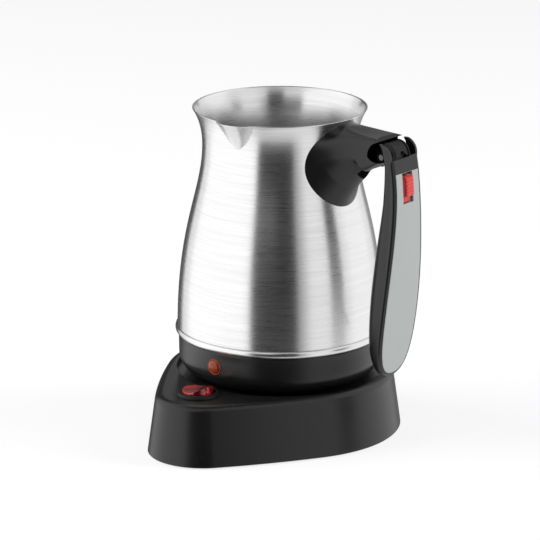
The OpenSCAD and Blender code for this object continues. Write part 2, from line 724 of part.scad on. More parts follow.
module window_cut(grow = 0) {
    translate([70, -window_w / 2 - grow, window_low - grow])
        cube([30, window_w + 2 * grow, window_top - window_low + 2 * grow]);
}

module latch_channel() {
    translate([slider_x - 0.2, -5.6, 122]) cube([3.6, 11.2, 60]);
}

// Cheek beside the knuckle: its back edge runs straight past the pin
module ear_profile() {
    polygon(concat([for (a = [86:-8:0]) [hinge_x + ear_r * cos(a), hinge_z + ear_r * sin(a)]],
        [[face_x(158) - rim_back, 158], [face_x(150) - rim_back, 150], [77, 148],
         [77, 156], [hinge_x + 0.4, hinge_z - 4]]));
}

module handle_back() {
    color(black) difference() {
        union() {
            difference() {
                loft([for (z = grip_levels) grip_ring(z)]);
                at_hinge() bar_y(knuckle_r + 0.9, -20, 20, 72);
            }
            for (s = [-1, 1]) scale([1, s, 1]) {
                along_y(ear_y - cheek_t, ear_y) ear_profile();
                at_hinge() bar_y(pin_r + 2, knuckle_y + 0.3, ear_y - cheek_t + 0.1, 48);
            }
        }
        // pocket for the front frame
        shield([[1.1, -rim_back - 0.7], [1.1, 3]]);
        shield([[7, -rim_back - 2.6], [7, 0]]);
        latch_channel();
        at_hinge() bar_y(pin_r + 0.05, -20, 20, 32);
        for (z = [66, 104]) translate([60, 0, z]) rotate([0, 90, 0]) {
            cylinder(r = 1.4, h = 40, $fn = 24);
            cylinder(r = 2.6, h = back_x(z) - 60 + 3, $fn = 24);
        }
    }
}

module handle_front() {
    color(charcoal) difference() {
        union() {
            shield([[0.15, -bevel], [0.5, -bevel * 0.45], [1.7, 0]]);
            shield([[1.3, -rim_back - 0.6], [1.3, -bevel * 0.5]]);
            shield([[7.3, -rim_back - 2.5], [7.3, -bevel * 0.5]]);
        }
        shield([[1.9, -1.2], [1.9, 3]], plate_u);
        at_hinge() {
            bar_y(knuckle_r + 0.8, -20, 20, 72);
            for (s = [-1, 1]) scale([1, s, 1]) bar_y(ear_r + 0.1, ear_y - 1.15, 20, 72);
        }
        window_cut(0.01);
        latch_channel();
        for (z = [66, 104]) translate([60, 0, z]) rotate([0, 90, 0])
            cylinder(r = 1.1, h = face_x(z) - 60 - 2, $fn = 24);
    }
}

module handle_plate() {
    color(grey) difference() {
        shield([[2.05, -1.2], [2.05, -0.25], [2.3, 0]], plate_u + 0.002);
        window_cut();
    }
}

module handle_screws() {
    color(steel) for (z = [66, 104]) let (seat = back_x(z) + 3) translate([seat, 0, z])
        rotate([0, 90, 0]) screw_up(1.1, min(6.5, face_x(z) - 2.3 - seat));
}

// ---------- latch ----------

module latch_slider() {
    nose = knuckle_r + 0.7;
    color(charcoal) difference() {
        union() {
            translate([slider_x, -5.2, 130]) cube([3.2, 10.4, 22]);
            translate([slider_x, -3.8, 150]) cube([3.2, 7.6, 12]);
        }
        at_hinge() bar_y(nose, -20, 20, 72);
        // seat of the spring
        translate([slider_x + 1.6, 0, 129.9]) cylinder(r = 1.4, h = 5, $fn = 24);
    }
}

module latch_button() {
    x = face_x(button_top - button_h / 2);
    ribs = 6;
    pitch = button_h / ribs;
    color(red) along_y(-button_w / 2, button_w / 2) polygon(concat(
        [[slider_x + 3.2, button_top - button_h + 0.6], [x - 0.2, button_top - button_h],
         [x + button_out * 0.6, button_top - button_h]],
        [for (i = [0:ribs - 1]) each [
            [x + button_out - 0.5, button_top - button_h + (i + 0.12) * pitch],
            [x + button_out, button_top - button_h + (i + 0.35) * pitch],
            [x + button_out, button_top - button_h + (i + 0.65) * pitch],
            [x + button_out - 0.5, button_top - button_h + (i + 0.88) * pitch]]],
        [[x + button_out * 0.6, button_top], [x - 0.2, button_top],
         [slider_x + 3.2, button_top - 0.6]]));
}

// Compression spring between the slider and the channel's floor, one tube along a helix
module latch_spring() {
    turns = 6;
    steps = 12;
    sides = 6;
    wire = 0.22;
    coil = 1.1;
    z0 = 122.3;
    z1 = 129.6;
    rings = [for (i = [0:turns * steps])
        let (a = 360 * i / steps, z = mix(z0, z1, i / (turns * steps)))
        [for (j = [0:sides - 1]) let (b = -360 * j / sides, r = coil + wire * cos(b))
            [slider_x + 1.6 + r * cos(a), r * sin(a), z + wire * sin(b)]]];
    color(steel) loft(rings);
}

base_housing();
base_cover();
rubber_feet();
base_screws();
switch_body();
switch_terminals();
rocker_button();
coupler_base();
coupler_base_contacts();
coupler_base_screws();
cord_gland();
cord_clamp();
cord_clamp_screws();
coupler_turn_ring();
vessel();
heating_plate();
heating_element();
element_terminals();
skirt();
seal_ring();
pot_cover();
pot_cover_screws();
coupler_pot();
coupler_pot_contacts();
thermostat();
lamp_lens();
lamp_body();
bracket_plate();
handle_bracket();
bracket_screws();
hinge_knuckle();
knuckle_screw();
hinge_pin();
handle_back();
handle_front();
handle_plate();
handle_screws();
latch_slider();
latch_button();
latch_spring();
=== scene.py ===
# %% [markdown]
# # An electric Turkish coffee maker
# The pot is a spun and brushed steel vessel on a black moulded skirt. Its folding handle hangs
# from a trumpet-shaped bracket, and the pot stands on an egg-shaped base with a clear red
# rocker switch. Each cell below makes one piece or one finish. Shapes are worked out in
# millimetres, in the frame of the solid model: +Z up, the pot's axis at the origin, the handle
# at +X and the switch at -Y.

# %% The frame
import json
import math

import bpy
import numpy as np
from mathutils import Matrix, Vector


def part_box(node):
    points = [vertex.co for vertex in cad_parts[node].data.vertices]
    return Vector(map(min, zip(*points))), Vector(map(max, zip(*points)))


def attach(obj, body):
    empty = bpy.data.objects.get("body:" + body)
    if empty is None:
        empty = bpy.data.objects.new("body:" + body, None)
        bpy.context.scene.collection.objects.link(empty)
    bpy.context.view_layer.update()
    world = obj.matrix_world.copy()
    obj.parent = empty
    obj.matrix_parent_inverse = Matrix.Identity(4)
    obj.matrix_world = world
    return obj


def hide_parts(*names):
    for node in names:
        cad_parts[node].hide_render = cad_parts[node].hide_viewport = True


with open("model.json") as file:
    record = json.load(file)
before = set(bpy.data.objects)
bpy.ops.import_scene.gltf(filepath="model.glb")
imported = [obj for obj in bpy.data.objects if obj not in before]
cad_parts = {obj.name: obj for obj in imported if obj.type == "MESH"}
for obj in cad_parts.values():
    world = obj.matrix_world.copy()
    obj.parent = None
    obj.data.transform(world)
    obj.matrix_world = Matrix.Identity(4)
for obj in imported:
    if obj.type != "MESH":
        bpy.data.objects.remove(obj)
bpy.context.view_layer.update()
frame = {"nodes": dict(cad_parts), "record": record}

MM = 0.001

# %% [markdown]
# ## Camera
# A long lens keeps the pot's sides nearly upright. The camera stands about two metres away,
# between the switch and the handle, and looks down at the rim. The lens is shifted a little,
# so that the pot stands right of the middle.

# %% Camera
FRAME_PIXELS = 540
FOCAL_PIXELS = 3716
SENSOR = 36
CAMERA_AZIMUTH = math.radians(39.5)
CAMERA_PITCH = math.radians(16.295)
CAMERA_AWAY = 1916
CAMERA_HEIGHT = 646.1
AXIS_RIGHT_PIXELS = 10



def put(name, data):
    """A new object of the scene that shows the given data."""
    made = bpy.data.objects.new(name, data)
    bpy.context.scene.collection.objects.link(made)
    return made


camera = put("camera", bpy.data.cameras.new("camera"))
camera.data.sensor_width = SENSOR
camera.data.lens = SENSOR * FOCAL_PIXELS / FRAME_PIXELS
camera.data.shift_x = -AXIS_RIGHT_PIXELS / FRAME_PIXELS
camera.location = Vector((math.sin(CAMERA_AZIMUTH) * CAMERA_AWAY,
                          -math.cos(CAMERA_AZIMUTH) * CAMERA_AWAY, CAMERA_HEIGHT)) * MM
camera.rotation_euler = (math.pi / 2 - CAMERA_PITCH, 0, CAMERA_AZIMUTH)
bpy.context.scene.camera = camera
bpy.context.scene.view_settings.view_transform = "Standard"
print("lens", round(camera.data.lens, 1), "mm")

# %% [markdown]
# ## Shader maths
# A material is a tree of nodes. One small class wraps a socket, so that ordinary Python
# operators add Math nodes, and its one method adds every other kind of node.


# %% Socket wrapper
class Wire:
    """One socket of a material. Operators add Math nodes, and node() adds any other node."""

    def __init__(self, tree, socket=None):
        self.tree = tree
        self.socket = socket

    def node(self, kind, settings=None, inputs=None, output=0):
        made = self.tree.nodes.new("ShaderNode" + kind)
        for key, value in (settings or {}).items():
            setattr(made, key, value)
        for key, value in (inputs or {}).items():
            if isinstance(value, Wire):
                self.tree.links.new(value.socket, made.inputs[key])
            else:
                made.inputs[key].default_value = value
        return Wire(self.tree, made.outputs[output])

    def math(self, operation, *values):
        return self.node("Math", {"operation": operation}, dict(enumerate(values)))

    def __add__(self, other):
        return self.math("ADD", self, other)

    def __sub__(self, other):
        return self.math("SUBTRACT", self, other)

    def __rsub__(self, other):
        return self.math("SUBTRACT", other, self)

    def __mul__(self, other):
        return self.math("MULTIPLY", self, other)

    def __truediv__(self, other):
        return self.math("DIVIDE", self, other)

    def __rtruediv__(self, other):
        return self.math("DIVIDE", other, self)

    __radd__ = __add__
    __rmul__ = __mul__


def grey(value):
    """A neutral colour of that linear brightness, or the given three numbers as a colour."""
    return (*value, 1.0) if hasattr(value, "__len__") else (value, value, value, 1.0)


def material(name, **constants):
    """A new material, its shader and a wire to start from. Underscores stand for spaces."""
    made = bpy.data.materials.new(name)
    made.use_nodes = True
    shader = made.node_tree.nodes["Principled BSDF"]
    for key, value in constants.items():
        shader.inputs[key.replace("_", " ")].default_value = value
    return made, shader, Wire(made.node_tree)


def feed(shader, wire, socket):
    """Links a wire to one of the shader's sockets."""
    wire.tree.links.new(wire.socket, shader.inputs[socket])


def blend_colour(wire, amount, dark, light):
    """Colour between dark and light by amount."""
    return wire.node("Mix", {"data_type": "RGBA"}, {0: amount, 6: grey(dark), 7: grey(light)}, 2)


def ramp(wire, value, low, high, to_low=0.0, to_high=1.0):
    """value carried linearly from low..high to to_low..to_high, and held at the ends."""
    return wire.node("MapRange", None, {0: value, 1: low, 2: high, 3: to_low, 4: to_high})


def noise(wire, place, scale, detail):
    """Cloudy pattern round one half, finer with a larger scale."""
    return wire.node("TexNoise", {"noise_dimensions": "3D"},
                     {"Vector": place, "Scale": scale, "Detail": detail})


print("shader class ready")

# %% [markdown]
# ## Studio
# The pot stands on a pale floor in a white room, and brushed steel shows what is round it. So
# tall white and black cards stand about the pot: they give the steel its light and dark bands.
# Lit panels would do the same, but they would change every colour, so only mirrored rays see
# the cards. The floor and the lamps aren't mirrored, and the cards reach below the floor, so
# the bands run down the whole height. The dark front card is narrower in its upper part, which
# the inside of the mouth mirrors, and a small dark ceiling hangs over the pot. The lamps light
# the surfaces at a plain level, and Light Path gives the camera and mirrored rays a whiter room
# than the one that lights the pot.

# %% World and floor
BACKGROUND = 1.0
ROOM_LIGHT = 0.05

world = bpy.data.worlds.new("room")
bpy.context.scene.world = world
world.use_nodes = True
room_path = world.node_tree.nodes.new("ShaderNodeLightPath")


def sees_background(tree, path):
    """1 for rays from the camera and for mirrored and refracted rays, otherwise 0."""
    wires = [Wire(tree, path.outputs[n])
             for n in ("Is Camera Ray", "Is Glossy Ray", "Is Transmission Ray")]
    return wires[0].math("MAXIMUM", wires[0], wires[1].math("MAXIMUM", wires[1], wires[2]))


backdrop_share = sees_background(world.node_tree, room_path)
background = world.node_tree.nodes["Background"]
background.inputs["Color"].default_value = grey(1.0)
world.node_tree.links.new(
    (backdrop_share * BACKGROUND + (1 - backdrop_share) * ROOM_LIGHT).socket,
    background.inputs["Strength"])

FLOOR_HALF = 2.6
FLOOR_SHADE = 0.35
FLOOR_GLOW = 1.2
floor_mesh = bpy.data.meshes.new("floor")
floor_mesh.from_pydata([(x * FLOOR_HALF, y * FLOOR_HALF, 0) for x, y in
                        ((-1, -1), (1, -1), (1, 1), (-1, 1))], [], [(0, 1, 2, 3)])
floor = put("floor", floor_mesh)
floor_paint, floor_shader, floor_wire = material("white_floor", Base_Color=grey(0.9),
                                                 Roughness=0.9, Specular_IOR_Level=0.0)
floor_mesh.materials.append(floor_paint)
floor_path = floor_paint.node_tree.nodes.new("ShaderNodeLightPath")
floor_share = sees_background(floor_paint.node_tree, floor_path) * (1 - FLOOR_SHADE)
glow = floor_wire.node("Emission", None, {"Color": grey(1.0), "Strength": FLOOR_GLOW})
lit = Wire(floor_paint.node_tree, floor_shader.outputs[0])
floor_mix = floor_wire.node("MixShader", None, {0: floor_share, 1: lit, 2: glow})
floor_out = floor_paint.node_tree.nodes["Material Output"]
floor_paint.node_tree.links.new(floor_mix.socket, floor_out.inputs["Surface"])
floor.visible_glossy = False
print("floor", 2 * FLOOR_HALF, "m wide")


# %% Lamps and cards
def polar(azimuth, away, height):
    """Place at an angle from the camera's side, in degrees to its right, in metres."""
    a = CAMERA_AZIMUTH + math.radians(azimuth)
    return Vector((math.sin(a) * away, -math.cos(a) * away, height))


TARGET = Vector((0, 0, 0.09))
CARD_AWAY = 2.4
CARD_LOW, CARD_HIGH = -2.2, 2.6
# the outer wall of the steel mirrors nothing above this height, only the inside of its mouth does
CARD_SPLIT = 1.4
STREAK_LOW, STREAK_HIGH = -0.45, 0.9
CEILING_R = 1.1
CEILING_RISE = 0.1


def lamp(name, azimuth, away, height, width, tall, brightness):
    """Soft panel lamp whose face has the given brightness, where 1 is white paper. It lights
    the surfaces, and the cards are what mirrors show."""
    data = bpy.data.lights.new(name, "AREA")
    data.shape = "RECTANGLE"
    data.size = width
    data.size_y = tall
    data.energy = brightness * math.pi * width * tall
    made = put(name, data)
    made.location = polar(azimuth, away, height)
    made.rotation_euler = (TARGET - made.location).to_track_quat("-Z", "Y").to_euler()
    made.visible_glossy = False
    return made


def card_paint(brightness):
    """Paint of a card: plain light of the given brightness, which isn't sampled as a lamp."""
    made = material(f"card_{brightness:g}", Base_Color=grey(0.0), Roughness=1.0,
                    Specular_IOR_Level=0.0, Emission_Color=grey(1.0),
                    Emission_Strength=brightness)[0]
    made.cycles.emission_sampling = "NONE"
    return made


def card(name, left, right, brightness, low=CARD_LOW, high=CARD_HIGH, low_away=CARD_AWAY,
         high_away=CARD_AWAY):
    """Curved card between two angles from the camera's side, which only mirrors show. It runs
    from the height low to high, and its edges are low_away and high_away from the pot's axis."""
    steps = 12
    angles = np.linspace(left, right, steps + 1)
    edges = ((low_away, low), (high_away, high))
    points = [polar(a, away, height) for away, height in edges for a in angles]
    faces = [(i, i + 1, i + steps + 2, i + steps + 1) for i in range(steps)]
    mesh = bpy.data.meshes.new(name)
    mesh.from_pydata(points, [], faces)
    mesh.materials.append(card_paint(brightness))
    made = put(name, mesh)
    made.visible_camera = False
    made.visible_shadow = False
    made.visible_diffuse = False
    made.visible_transmission = False
    return made


lamp("lamp_left", -88, 1.55, 0.75, 1.6, 1.7, 4.3)
lamp("lamp_right", 84, 1.6, 0.7, 1.0, 1.5, 6.2)
lamp("lamp_top", 30, 1.0, 1.9, 1.1, 1.1, 0.3)
card("card_left", -124, -36, 1.35)
card("card_front", -33, 20, 0.01, high=CARD_SPLIT)
card("card_front_top", -6, 20, 0.01, low=CARD_SPLIT)
card("card_front_edge", 20, 27, 0.45, high=CARD_SPLIT)
card("card_front_soft", 27, 33, 0.72, high=CARD_SPLIT)
card("card_right_streak", 59, 76, 0.01, STREAK_LOW, STREAK_HIGH)
card("card_right", 88, 128, 1.15)
card("card_left_edge", -178, -142, 0.08)
card("card_right_edge", 146, 178, 0.3)
card("card_ceiling", -180, 180, 0.05, CARD_HIGH, CARD_HIGH + CEILING_RISE, CEILING_R, 0)
print("lamps and cards placed")

# %% [markdown]
# ## Finishes
# The plastics are dyed in the mass and have the faint grain of a spark-eroded mould. A picture
# of a grain could be wrapped round each piece, but a noise in Object coordinates needs no
# unwrapping and has no seams.


# %% Plastics
def moulded(name, colour, roughness, grain_mm=0.35, depth_mm=0.012, light=1.25, coat=0.0,
            specular=0.5):
    """Moulded plastic: fine grain in the bump, and a slow drift of gloss and tone."""
    made, shader, wire = material(name, Specular_IOR_Level=specular, Coat_Weight=coat,
                                  Coat_Roughness=0.15)
    place = wire.node("TexCoord", output="Object")
    grain = noise(wire, place, 1 / (grain_mm * MM), 2.0)
    drift = noise(wire, place, 45.0, 3.0)
    feed(shader, blend_colour(wire, drift, colour, [c * light for c in colour]), "Base Color")
    feed(shader, ramp(wire, drift, 0.3, 0.7, roughness - 0.03, roughness + 0.04), "Roughness")
    bump = wire.node("Bump", None, {"Height": grain, "Distance": depth_mm * MM,
                                    "Strength": 0.6})
    feed(shader, bump, "Normal")
    return made


finishes = {
    "charcoal_plastic": moulded("charcoal_plastic", (0.008, 0.0085, 0.008), 0.3, specular=0.42),
    "black_plastic": moulded("black_plastic", (0.009, 0.009, 0.009), 0.4, specular=0.2),
    "grey_plate": moulded("grey_plate", (0.38, 0.405, 0.40), 0.36, light=1.05, depth_mm=0.006),
    "red_button": moulded("red_button", (0.55, 0.014, 0.009), 0.35, light=1.2, coat=0.3),
    "amber_lens": moulded("amber_lens", (0.24, 0.03, 0.005), 0.2, coat=0.15, specular=0.35),
    # painted shade: a near-black finish for the bracket's cut faces and the hinge bosses, which
    # stands for the shade that falls in them
    "painted_shade_plastic": moulded("painted_shade_plastic", (0.002, 0.002, 0.002), 0.8, specular=0.03),
    "rubber": moulded("rubber", (0.015, 0.015, 0.015), 0.75, grain_mm=0.6, depth_mm=0.03),
    "silicone": moulded("silicone", (0.55, 0.53, 0.48), 0.6),
    "nylon": moulded("nylon", (0.6, 0.58, 0.52), 0.5),
}
print(len(finishes), "dyed plastics")

# %% [markdown]
# ## Clear red plastic
# The rocker's clear plastic shows faces inside it, which refract and reflect light. Modelled faces
# that refract light would be truer, and slower. Here flat patches of two reds from a Voronoi
# pattern are painted light and shade that stand for them.


# %% Clear red plastic
def clear_red(name, dark, light, facet_mm):
    """Clear red plastic: flat patches of darker and lighter red paint the light and shade that its
    inner faces refract and reflect.
    """
    made, shader, wire = material(name, Coat_Weight=1.0, Coat_Roughness=0.08, Roughness=0.2)
    place = wire.node("TexCoord", output="Object")
    # painted light and shade: each cell gets a darker or a lighter red, for the light that the
    # inner faces refract and reflect
    facet_light_cells = wire.node("TexVoronoi", {"voronoi_dimensions": "3D"},
                      {"Vector": place, "Scale": 1 / (facet_mm * MM)}, 1)
    tone = wire.node("SeparateColor", None, {0: facet_light_cells})
    feed(shader, blend_colour(wire, ramp(wire, tone, 0.2, 0.8), dark, light), "Base Color")
    return made


finishes["red_translucent"] = clear_red("red_translucent", (0.15, 0.002, 0.002),
                                        (0.75, 0.02, 0.012), 5)
print(len(finishes), "plastics")

# %% [markdown]
# ## Metals
# The steel is brushed round the pot, so its scratches follow the circumference. Modelled
# scratches would be far too many faces. A noise that is squeezed along Z and stretched round
# the axis gives the streaks, and the shader's anisotropy spreads the reflections across them.


# %% Metals
def brushed(name, dark, light, roughness, streak_mm, length_mm, anisotropic, depth_mm=0.002):
    """Metal brushed round the Z axis. The pattern reads the direction from the axis, which has
    no seam, and the height, which is scaled up so that the streaks are thin."""
    made, shader, wire = material(name, Metallic=1.0, Anisotropic=anisotropic,
                                  Anisotropic_Rotation=0.25)
    place = wire.node("TexCoord", output="Object")
    split = wire.node("SeparateXYZ", None, {0: place}).socket.node
    x, y, z = (Wire(wire.tree, s) for s in split.outputs)
    radius = (x * x + y * y + 1e-9).math("SQRT", x * x + y * y + 1e-9)
    cells = 50 / length_mm

    def streaks(thin_mm, along, detail):
        at = wire.node("CombineXYZ", None, {0: x / radius * along, 1: y / radius * along,
                                            2: (z + radius) / (thin_mm * MM)})
        return noise(wire, at, 1.0, detail)

    fine = streaks(streak_mm, cells, 2.0)
    broad = streaks(streak_mm * 7, cells * 0.5, 3.0)
    grain = fine * 0.6 + broad * 0.4
    feed(shader, blend_colour(wire, ramp(wire, grain, 0.3, 0.7), dark, light), "Base Color")
    feed(shader, ramp(wire, grain, 0.3, 0.7, roughness + 0.03, roughness - 0.03), "Roughness")
    bump = wire.node("Bump", None, {"Height": grain, "Distance": depth_mm * MM})
    feed(shader, bump, "Normal")
    return made


finishes["brushed_steel"] = brushed("brushed_steel", 0.68, 0.80, 0.28, 0.25, 30, 0.8, 0.0005)
finishes["aluminium"] = brushed("aluminium", 0.66, 0.8, 0.35, 0.3, 15, 0.3)


def bright(name, colour, roughness):
    """Plain metal with faint stains in its gloss."""
    made, shader, wire = material(name, Metallic=1.0)
    place = wire.node("TexCoord", output="Object")
    stain = noise(wire, place, 220.0, 4.0)
    feed(shader, blend_colour(wire, stain, [c * 0.85 for c in colour], colour), "Base Color")
    feed(shader, ramp(wire, stain, 0.3, 0.7, roughness, roughness + 0.12), "Roughness")
    return made


finishes["bright_steel"] = bright("bright_steel", (0.7, 0.7, 0.71), 0.25)
finishes["black_steel"] = bright("black_steel", (0.11, 0.11, 0.115), 0.3)
finishes["brass"] = bright("brass", (0.75, 0.55, 0.25), 0.3)
print(len(finishes), "finishes")

# %% [markdown]
# ## Finishes of the solid model
# Pieces that no surface below replaces are shown as the solid model has them. The record names
# a material slot for every node, so one loop is enough where each could have its own lines.
# Only the hinge pin is given a darker finish than its slot's.

# %% Finishes of the solid model's nodes
slot_of = {row["node"]: row["material_slot"] for row in frame["record"]["subparts"]}
special = {"hinge_pin": "black_steel"}
for node_name, node in frame["nodes"].items():
    node.data.materials.clear()
    node.data.materials.append(finishes[special.get(node_name, slot_of[node_name])])
print(len(slot_of), "nodes have a finish")

# %% [markdown]
# ## Tools for surfaces
# Every shape below is a grid of points: rings of equally many points, one after the other. A
# ring is a section through the piece, and the rings follow it from one end to the other. The
# whole grid is one numpy array, so there is no loop over points, and one function turns any
# such grid into a mesh.


# %% Curves
def bezier(control, count=240):
    """Points of a cubic curve: the four control points weighted with (1-t)^3, 3t(1-t)^2,
    3t^2(1-t) and t^3, for t from 0 to 1."""
    p = np.array(control, float)
    t = np.linspace(0, 1, count)[:, None]
    return (1 - t)**3 * p[0] + 3 * t * (1 - t)**2 * p[1] + 3 * t**2 * (1 - t) * p[2] + t**3 * p[3]


def read(curve, at, by=1, get=0):
    """Coordinate get of the curve where its coordinate by is at, between its points."""
    order = np.argsort(curve[:, by], kind="stable")
    return np.interp(at, curve[order, by], curve[order, get])


def power(value, exponent):
    """Power that keeps the sign, as a superellipse needs it."""
    return np.sign(value) * np.abs(value)**exponent


def arc(centre, radius, start, end, count):
    """Points at radius from centre, turning evenly from start to end degrees."""
    a = np.radians(np.linspace(start, end, count))
    return np.column_stack([centre[0] + radius * np.cos(a), centre[1] + radius * np.sin(a)])


print("curve tools ready")


# %% From a grid to a piece of the scene
def link(name, mesh, body, slot, nodes, sharp=34, finish=None):
    """Puts a mesh into the scene: its finish, which is the slot's unless another is named, a
    second, near-black one that paints shade onto the faces that carve() flagged as inner, smooth
    shading up to the sharp angle, the body it rides on and the nodes it stands for."""
    made = put(name, mesh)
    flags = np.zeros(len(mesh.polygons), np.int32)
    mesh.polygons.foreach_get("material_index", flags)
    mesh.materials.clear()
    mesh.materials.append(finishes[finish or slot])
    # painted shade: the flagged inner faces get the near-black finish
    if flags.any():
        mesh.materials.append(finishes["painted_shade_plastic"])
        mesh.polygons.foreach_set("material_index", np.minimum(flags, 1))
    mesh.shade_smooth()
    mesh.set_sharp_from_angle(angle=math.radians(sharp))
    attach(made, body)
    if nodes:
        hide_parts(*nodes)
    print(f"{name}: {len(mesh.polygons)} faces")
    return made


def grid_mesh(name, grid, loop=False):
    """Mesh of a grid of rings by points, in millimetres. Neighbours make four-sided faces. The
    ends are closed by fans about the middles of their rings, or with loop the last ring joins
    the first. Rings turn counterclockwise seen from the last one, so the faces look out."""
    rings, count = grid.shape[:2]
    points = grid.reshape(-1, 3) * MM
    here = np.arange(rings * count).reshape(rings, count)
    upper = np.roll(here, -1, 0) if loop else here[1:]
    lower = here if loop else here[:-1]
    quads = np.stack([lower, np.roll(lower, -1, 1), np.roll(upper, -1, 1), upper],
                     -1).reshape(-1, 4)
    fans = np.zeros((0, 3), int)
    for ring, order in () if loop else ((here[0], 1), (here[-1], -1)):
        pair = np.column_stack([np.roll(ring, -1), ring])[:, ::order]
        fans = np.vstack([fans, np.column_stack([np.full(count, len(points)), pair])])
        points = np.vstack([points, points[ring].mean(0)])
    mesh = bpy.data.meshes.new(name)
    mesh.vertices.add(len(points))
    mesh.vertices.foreach_set("co", points.astype(np.float32).ravel())
    mesh.loops.add(quads.size + fans.size)
    mesh.loops.foreach_set("vertex_index", np.concatenate([quads.ravel(), fans.ravel()]))
    mesh.polygons.add(len(quads) + len(fans))
    starts = np.concatenate([np.arange(len(quads)) * 4, quads.size + np.arange(len(fans)) * 3])
    mesh.polygons.foreach_set("loop_start", starts)
    mesh.update(calc_edges=True)
    mesh.validate()
    return mesh


def revolve(profile, count=192):
    """Grid of a profile in radius and height turned round the Z axis. A ring is one point of
    the profile at every angle."""
    angle = np.linspace(0, 2 * np.pi, count, endpoint=False)
    radius, height = profile[:, 0:1], profile[:, 1:2]
    return np.stack([radius * np.cos(angle), radius * np.sin(angle),
                     height + 0 * angle], -1)


print("grid tools ready")


# %% Cutting and joining
def carve(mesh, cutters, operation="DIFFERENCE", inner=False):
    """The mesh with the cutters' volumes taken out, or joined to it with UNION. With inner the
    faces that come from the cutters are flagged, so that link() can paint shade on them with a
    near-black finish."""
    target = put("carving", mesh)
    tools = []
    for cutter in cutters:
        cutter.polygons.foreach_set("material_index", np.full(len(cutter.polygons), int(inner)))
        tool = put("cutter", cutter)
        tools.append(tool)
        change = target.modifiers.new("cut", "BOOLEAN")
        change.operation = operation
        change.solver = "EXACT"
        change.material_mode = "INDEX"
        change.object = tool
    bpy.context.view_layer.update()
    graph = bpy.context.evaluated_depsgraph_get()
    result = bpy.data.meshes.new_from_object(target.evaluated_get(graph))
    for thing in (target, *tools):
        bpy.data.objects.remove(thing)
    return result


def bar(radius, y0, y1, centre=(0, 0), count=96):
    """Closed cylinder along Y about the line x, z = centre."""
    a = np.linspace(0, 2 * np.pi, count, endpoint=False)
    ring = np.stack([centre[0] + radius * np.sin(a), 0 * a, centre[1] + radius * np.cos(a)], -1)
    return grid_mesh("bar", np.stack([ring + [0, y0, 0], ring + [0, y1, 0]]))


def block(low, high):
    """Closed box between two corners."""
    (x0, y0, z0), (x1, y1, z1) = low, high
    ring = np.array([[x0, y0, 0], [x1, y0, 0], [x1, y1, 0], [x0, y1, 0]], float)
    return grid_mesh("block", np.stack([ring + [0, 0, z0], ring + [0, 0, z1]]))


def corners(node):
    """Lowest and highest corner of a solid node, in millimetres."""
    low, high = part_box(node)
    return np.array(low) / MM, np.array(high) / MM


steel_z = corners("heating_plate")[1][2]
print("the steel starts", round(steel_z, 1), "mm above the table")

# %% [markdown]
# ## The vessel
# A cup is spun from sheet: a belly that narrows to a waist, and a flared lip. The spout is
# pressed out afterwards, so it has a rounded ridge and two flanks that end in creases. A Screw
# modifier could turn the profile, but its even columns would blur the creases. Here the columns
# are drawn together towards the creases, which then follow columns and stay crisp.

# %% The vessel's profile
FOOT_R = 55.3
NECK_R = 41.4
NECK_UP = 103
RIM_R = 46.7
VESSEL_UP = 123
SHEET = 1.0
HEM_UP = 3.6
HEM_OUT = 1.2

belly = bezier([[FOOT_R, 0], [FOOT_R, 60], [NECK_R, 76], [NECK_R, NECK_UP]])
lip = bezier([[NECK_R, NECK_UP], [NECK_R, NECK_UP + 9], [RIM_R - 2.9, VESSEL_UP - 4.5],
              [RIM_R, VESSEL_UP]])
wall = np.vstack([belly, lip[1:]])


def vessel_radius(up):
    """Outer radius of the vessel at a height above the skirt."""
    return read(wall, up)


SPOUT_TURN = math.radians(-90 + 7.5)
SPOUT_HALF = 11.3
SPOUT_DROP = 14.6
SPOUT_OUT = 4.2
SPOUT_REACH = math.radians(34)
COLUMNS_IN, COLUMNS_BESIDE, COLUMNS_REST = 36, 22, 150


def spout_half(up):
    """Half width of the spout: full at the rim, falling to nothing at the tip with a power
    below one, which rounds the tip. Below the tip it only guides the columns and grows again."""
    rise = (up - (VESSEL_UP - SPOUT_DROP)) / SPOUT_DROP
    return SPOUT_HALF * np.where(rise > 0, np.abs(rise)**0.62, np.minimum(np.abs(rise), 1))


def vessel_grid(ups, inward):
    """Rings of the vessel's wall at heights ups, moved in by inward. Across the spout the wall
    is pushed out by SPOUT_OUT times the rise, times one less the power 2.7 of the share of the
    spout's half width."""
    rise = np.clip((ups - (VESSEL_UP - SPOUT_DROP)) / SPOUT_DROP, 0, 1)
    radius = vessel_radius(ups)
    edge = np.maximum(spout_half(ups), 0.25) / radius
    inner = np.linspace(-1, 1, COLUMNS_IN, endpoint=False)
    beside = np.linspace(0, 1, COLUMNS_BESIDE, endpoint=False)
    rest = np.linspace(0, 1, COLUMNS_REST, endpoint=False)
    span = 2 * np.pi - 2 * SPOUT_REACH
    angle = np.hstack([
        inner * edge[:, None],
        edge[:, None] + beside * (SPOUT_REACH - edge[:, None]),
        np.broadcast_to(SPOUT_REACH + rest * span, (len(ups), COLUMNS_REST)),
        -SPOUT_REACH + beside * (SPOUT_REACH - edge[:, None])])
    bulge = np.zeros(angle.shape)
    bulge[:, :COLUMNS_IN] = (SPOUT_OUT * rise)[:, None] * (1 - np.abs(inner)**2.7)
    r = (radius - inward)[:, None] + bulge
    return np.stack([r * np.cos(angle + SPOUT_TURN), r * np.sin(angle + SPOUT_TURN),
                     np.broadcast_to((steel_z + ups)[:, None], r.shape)], -1)


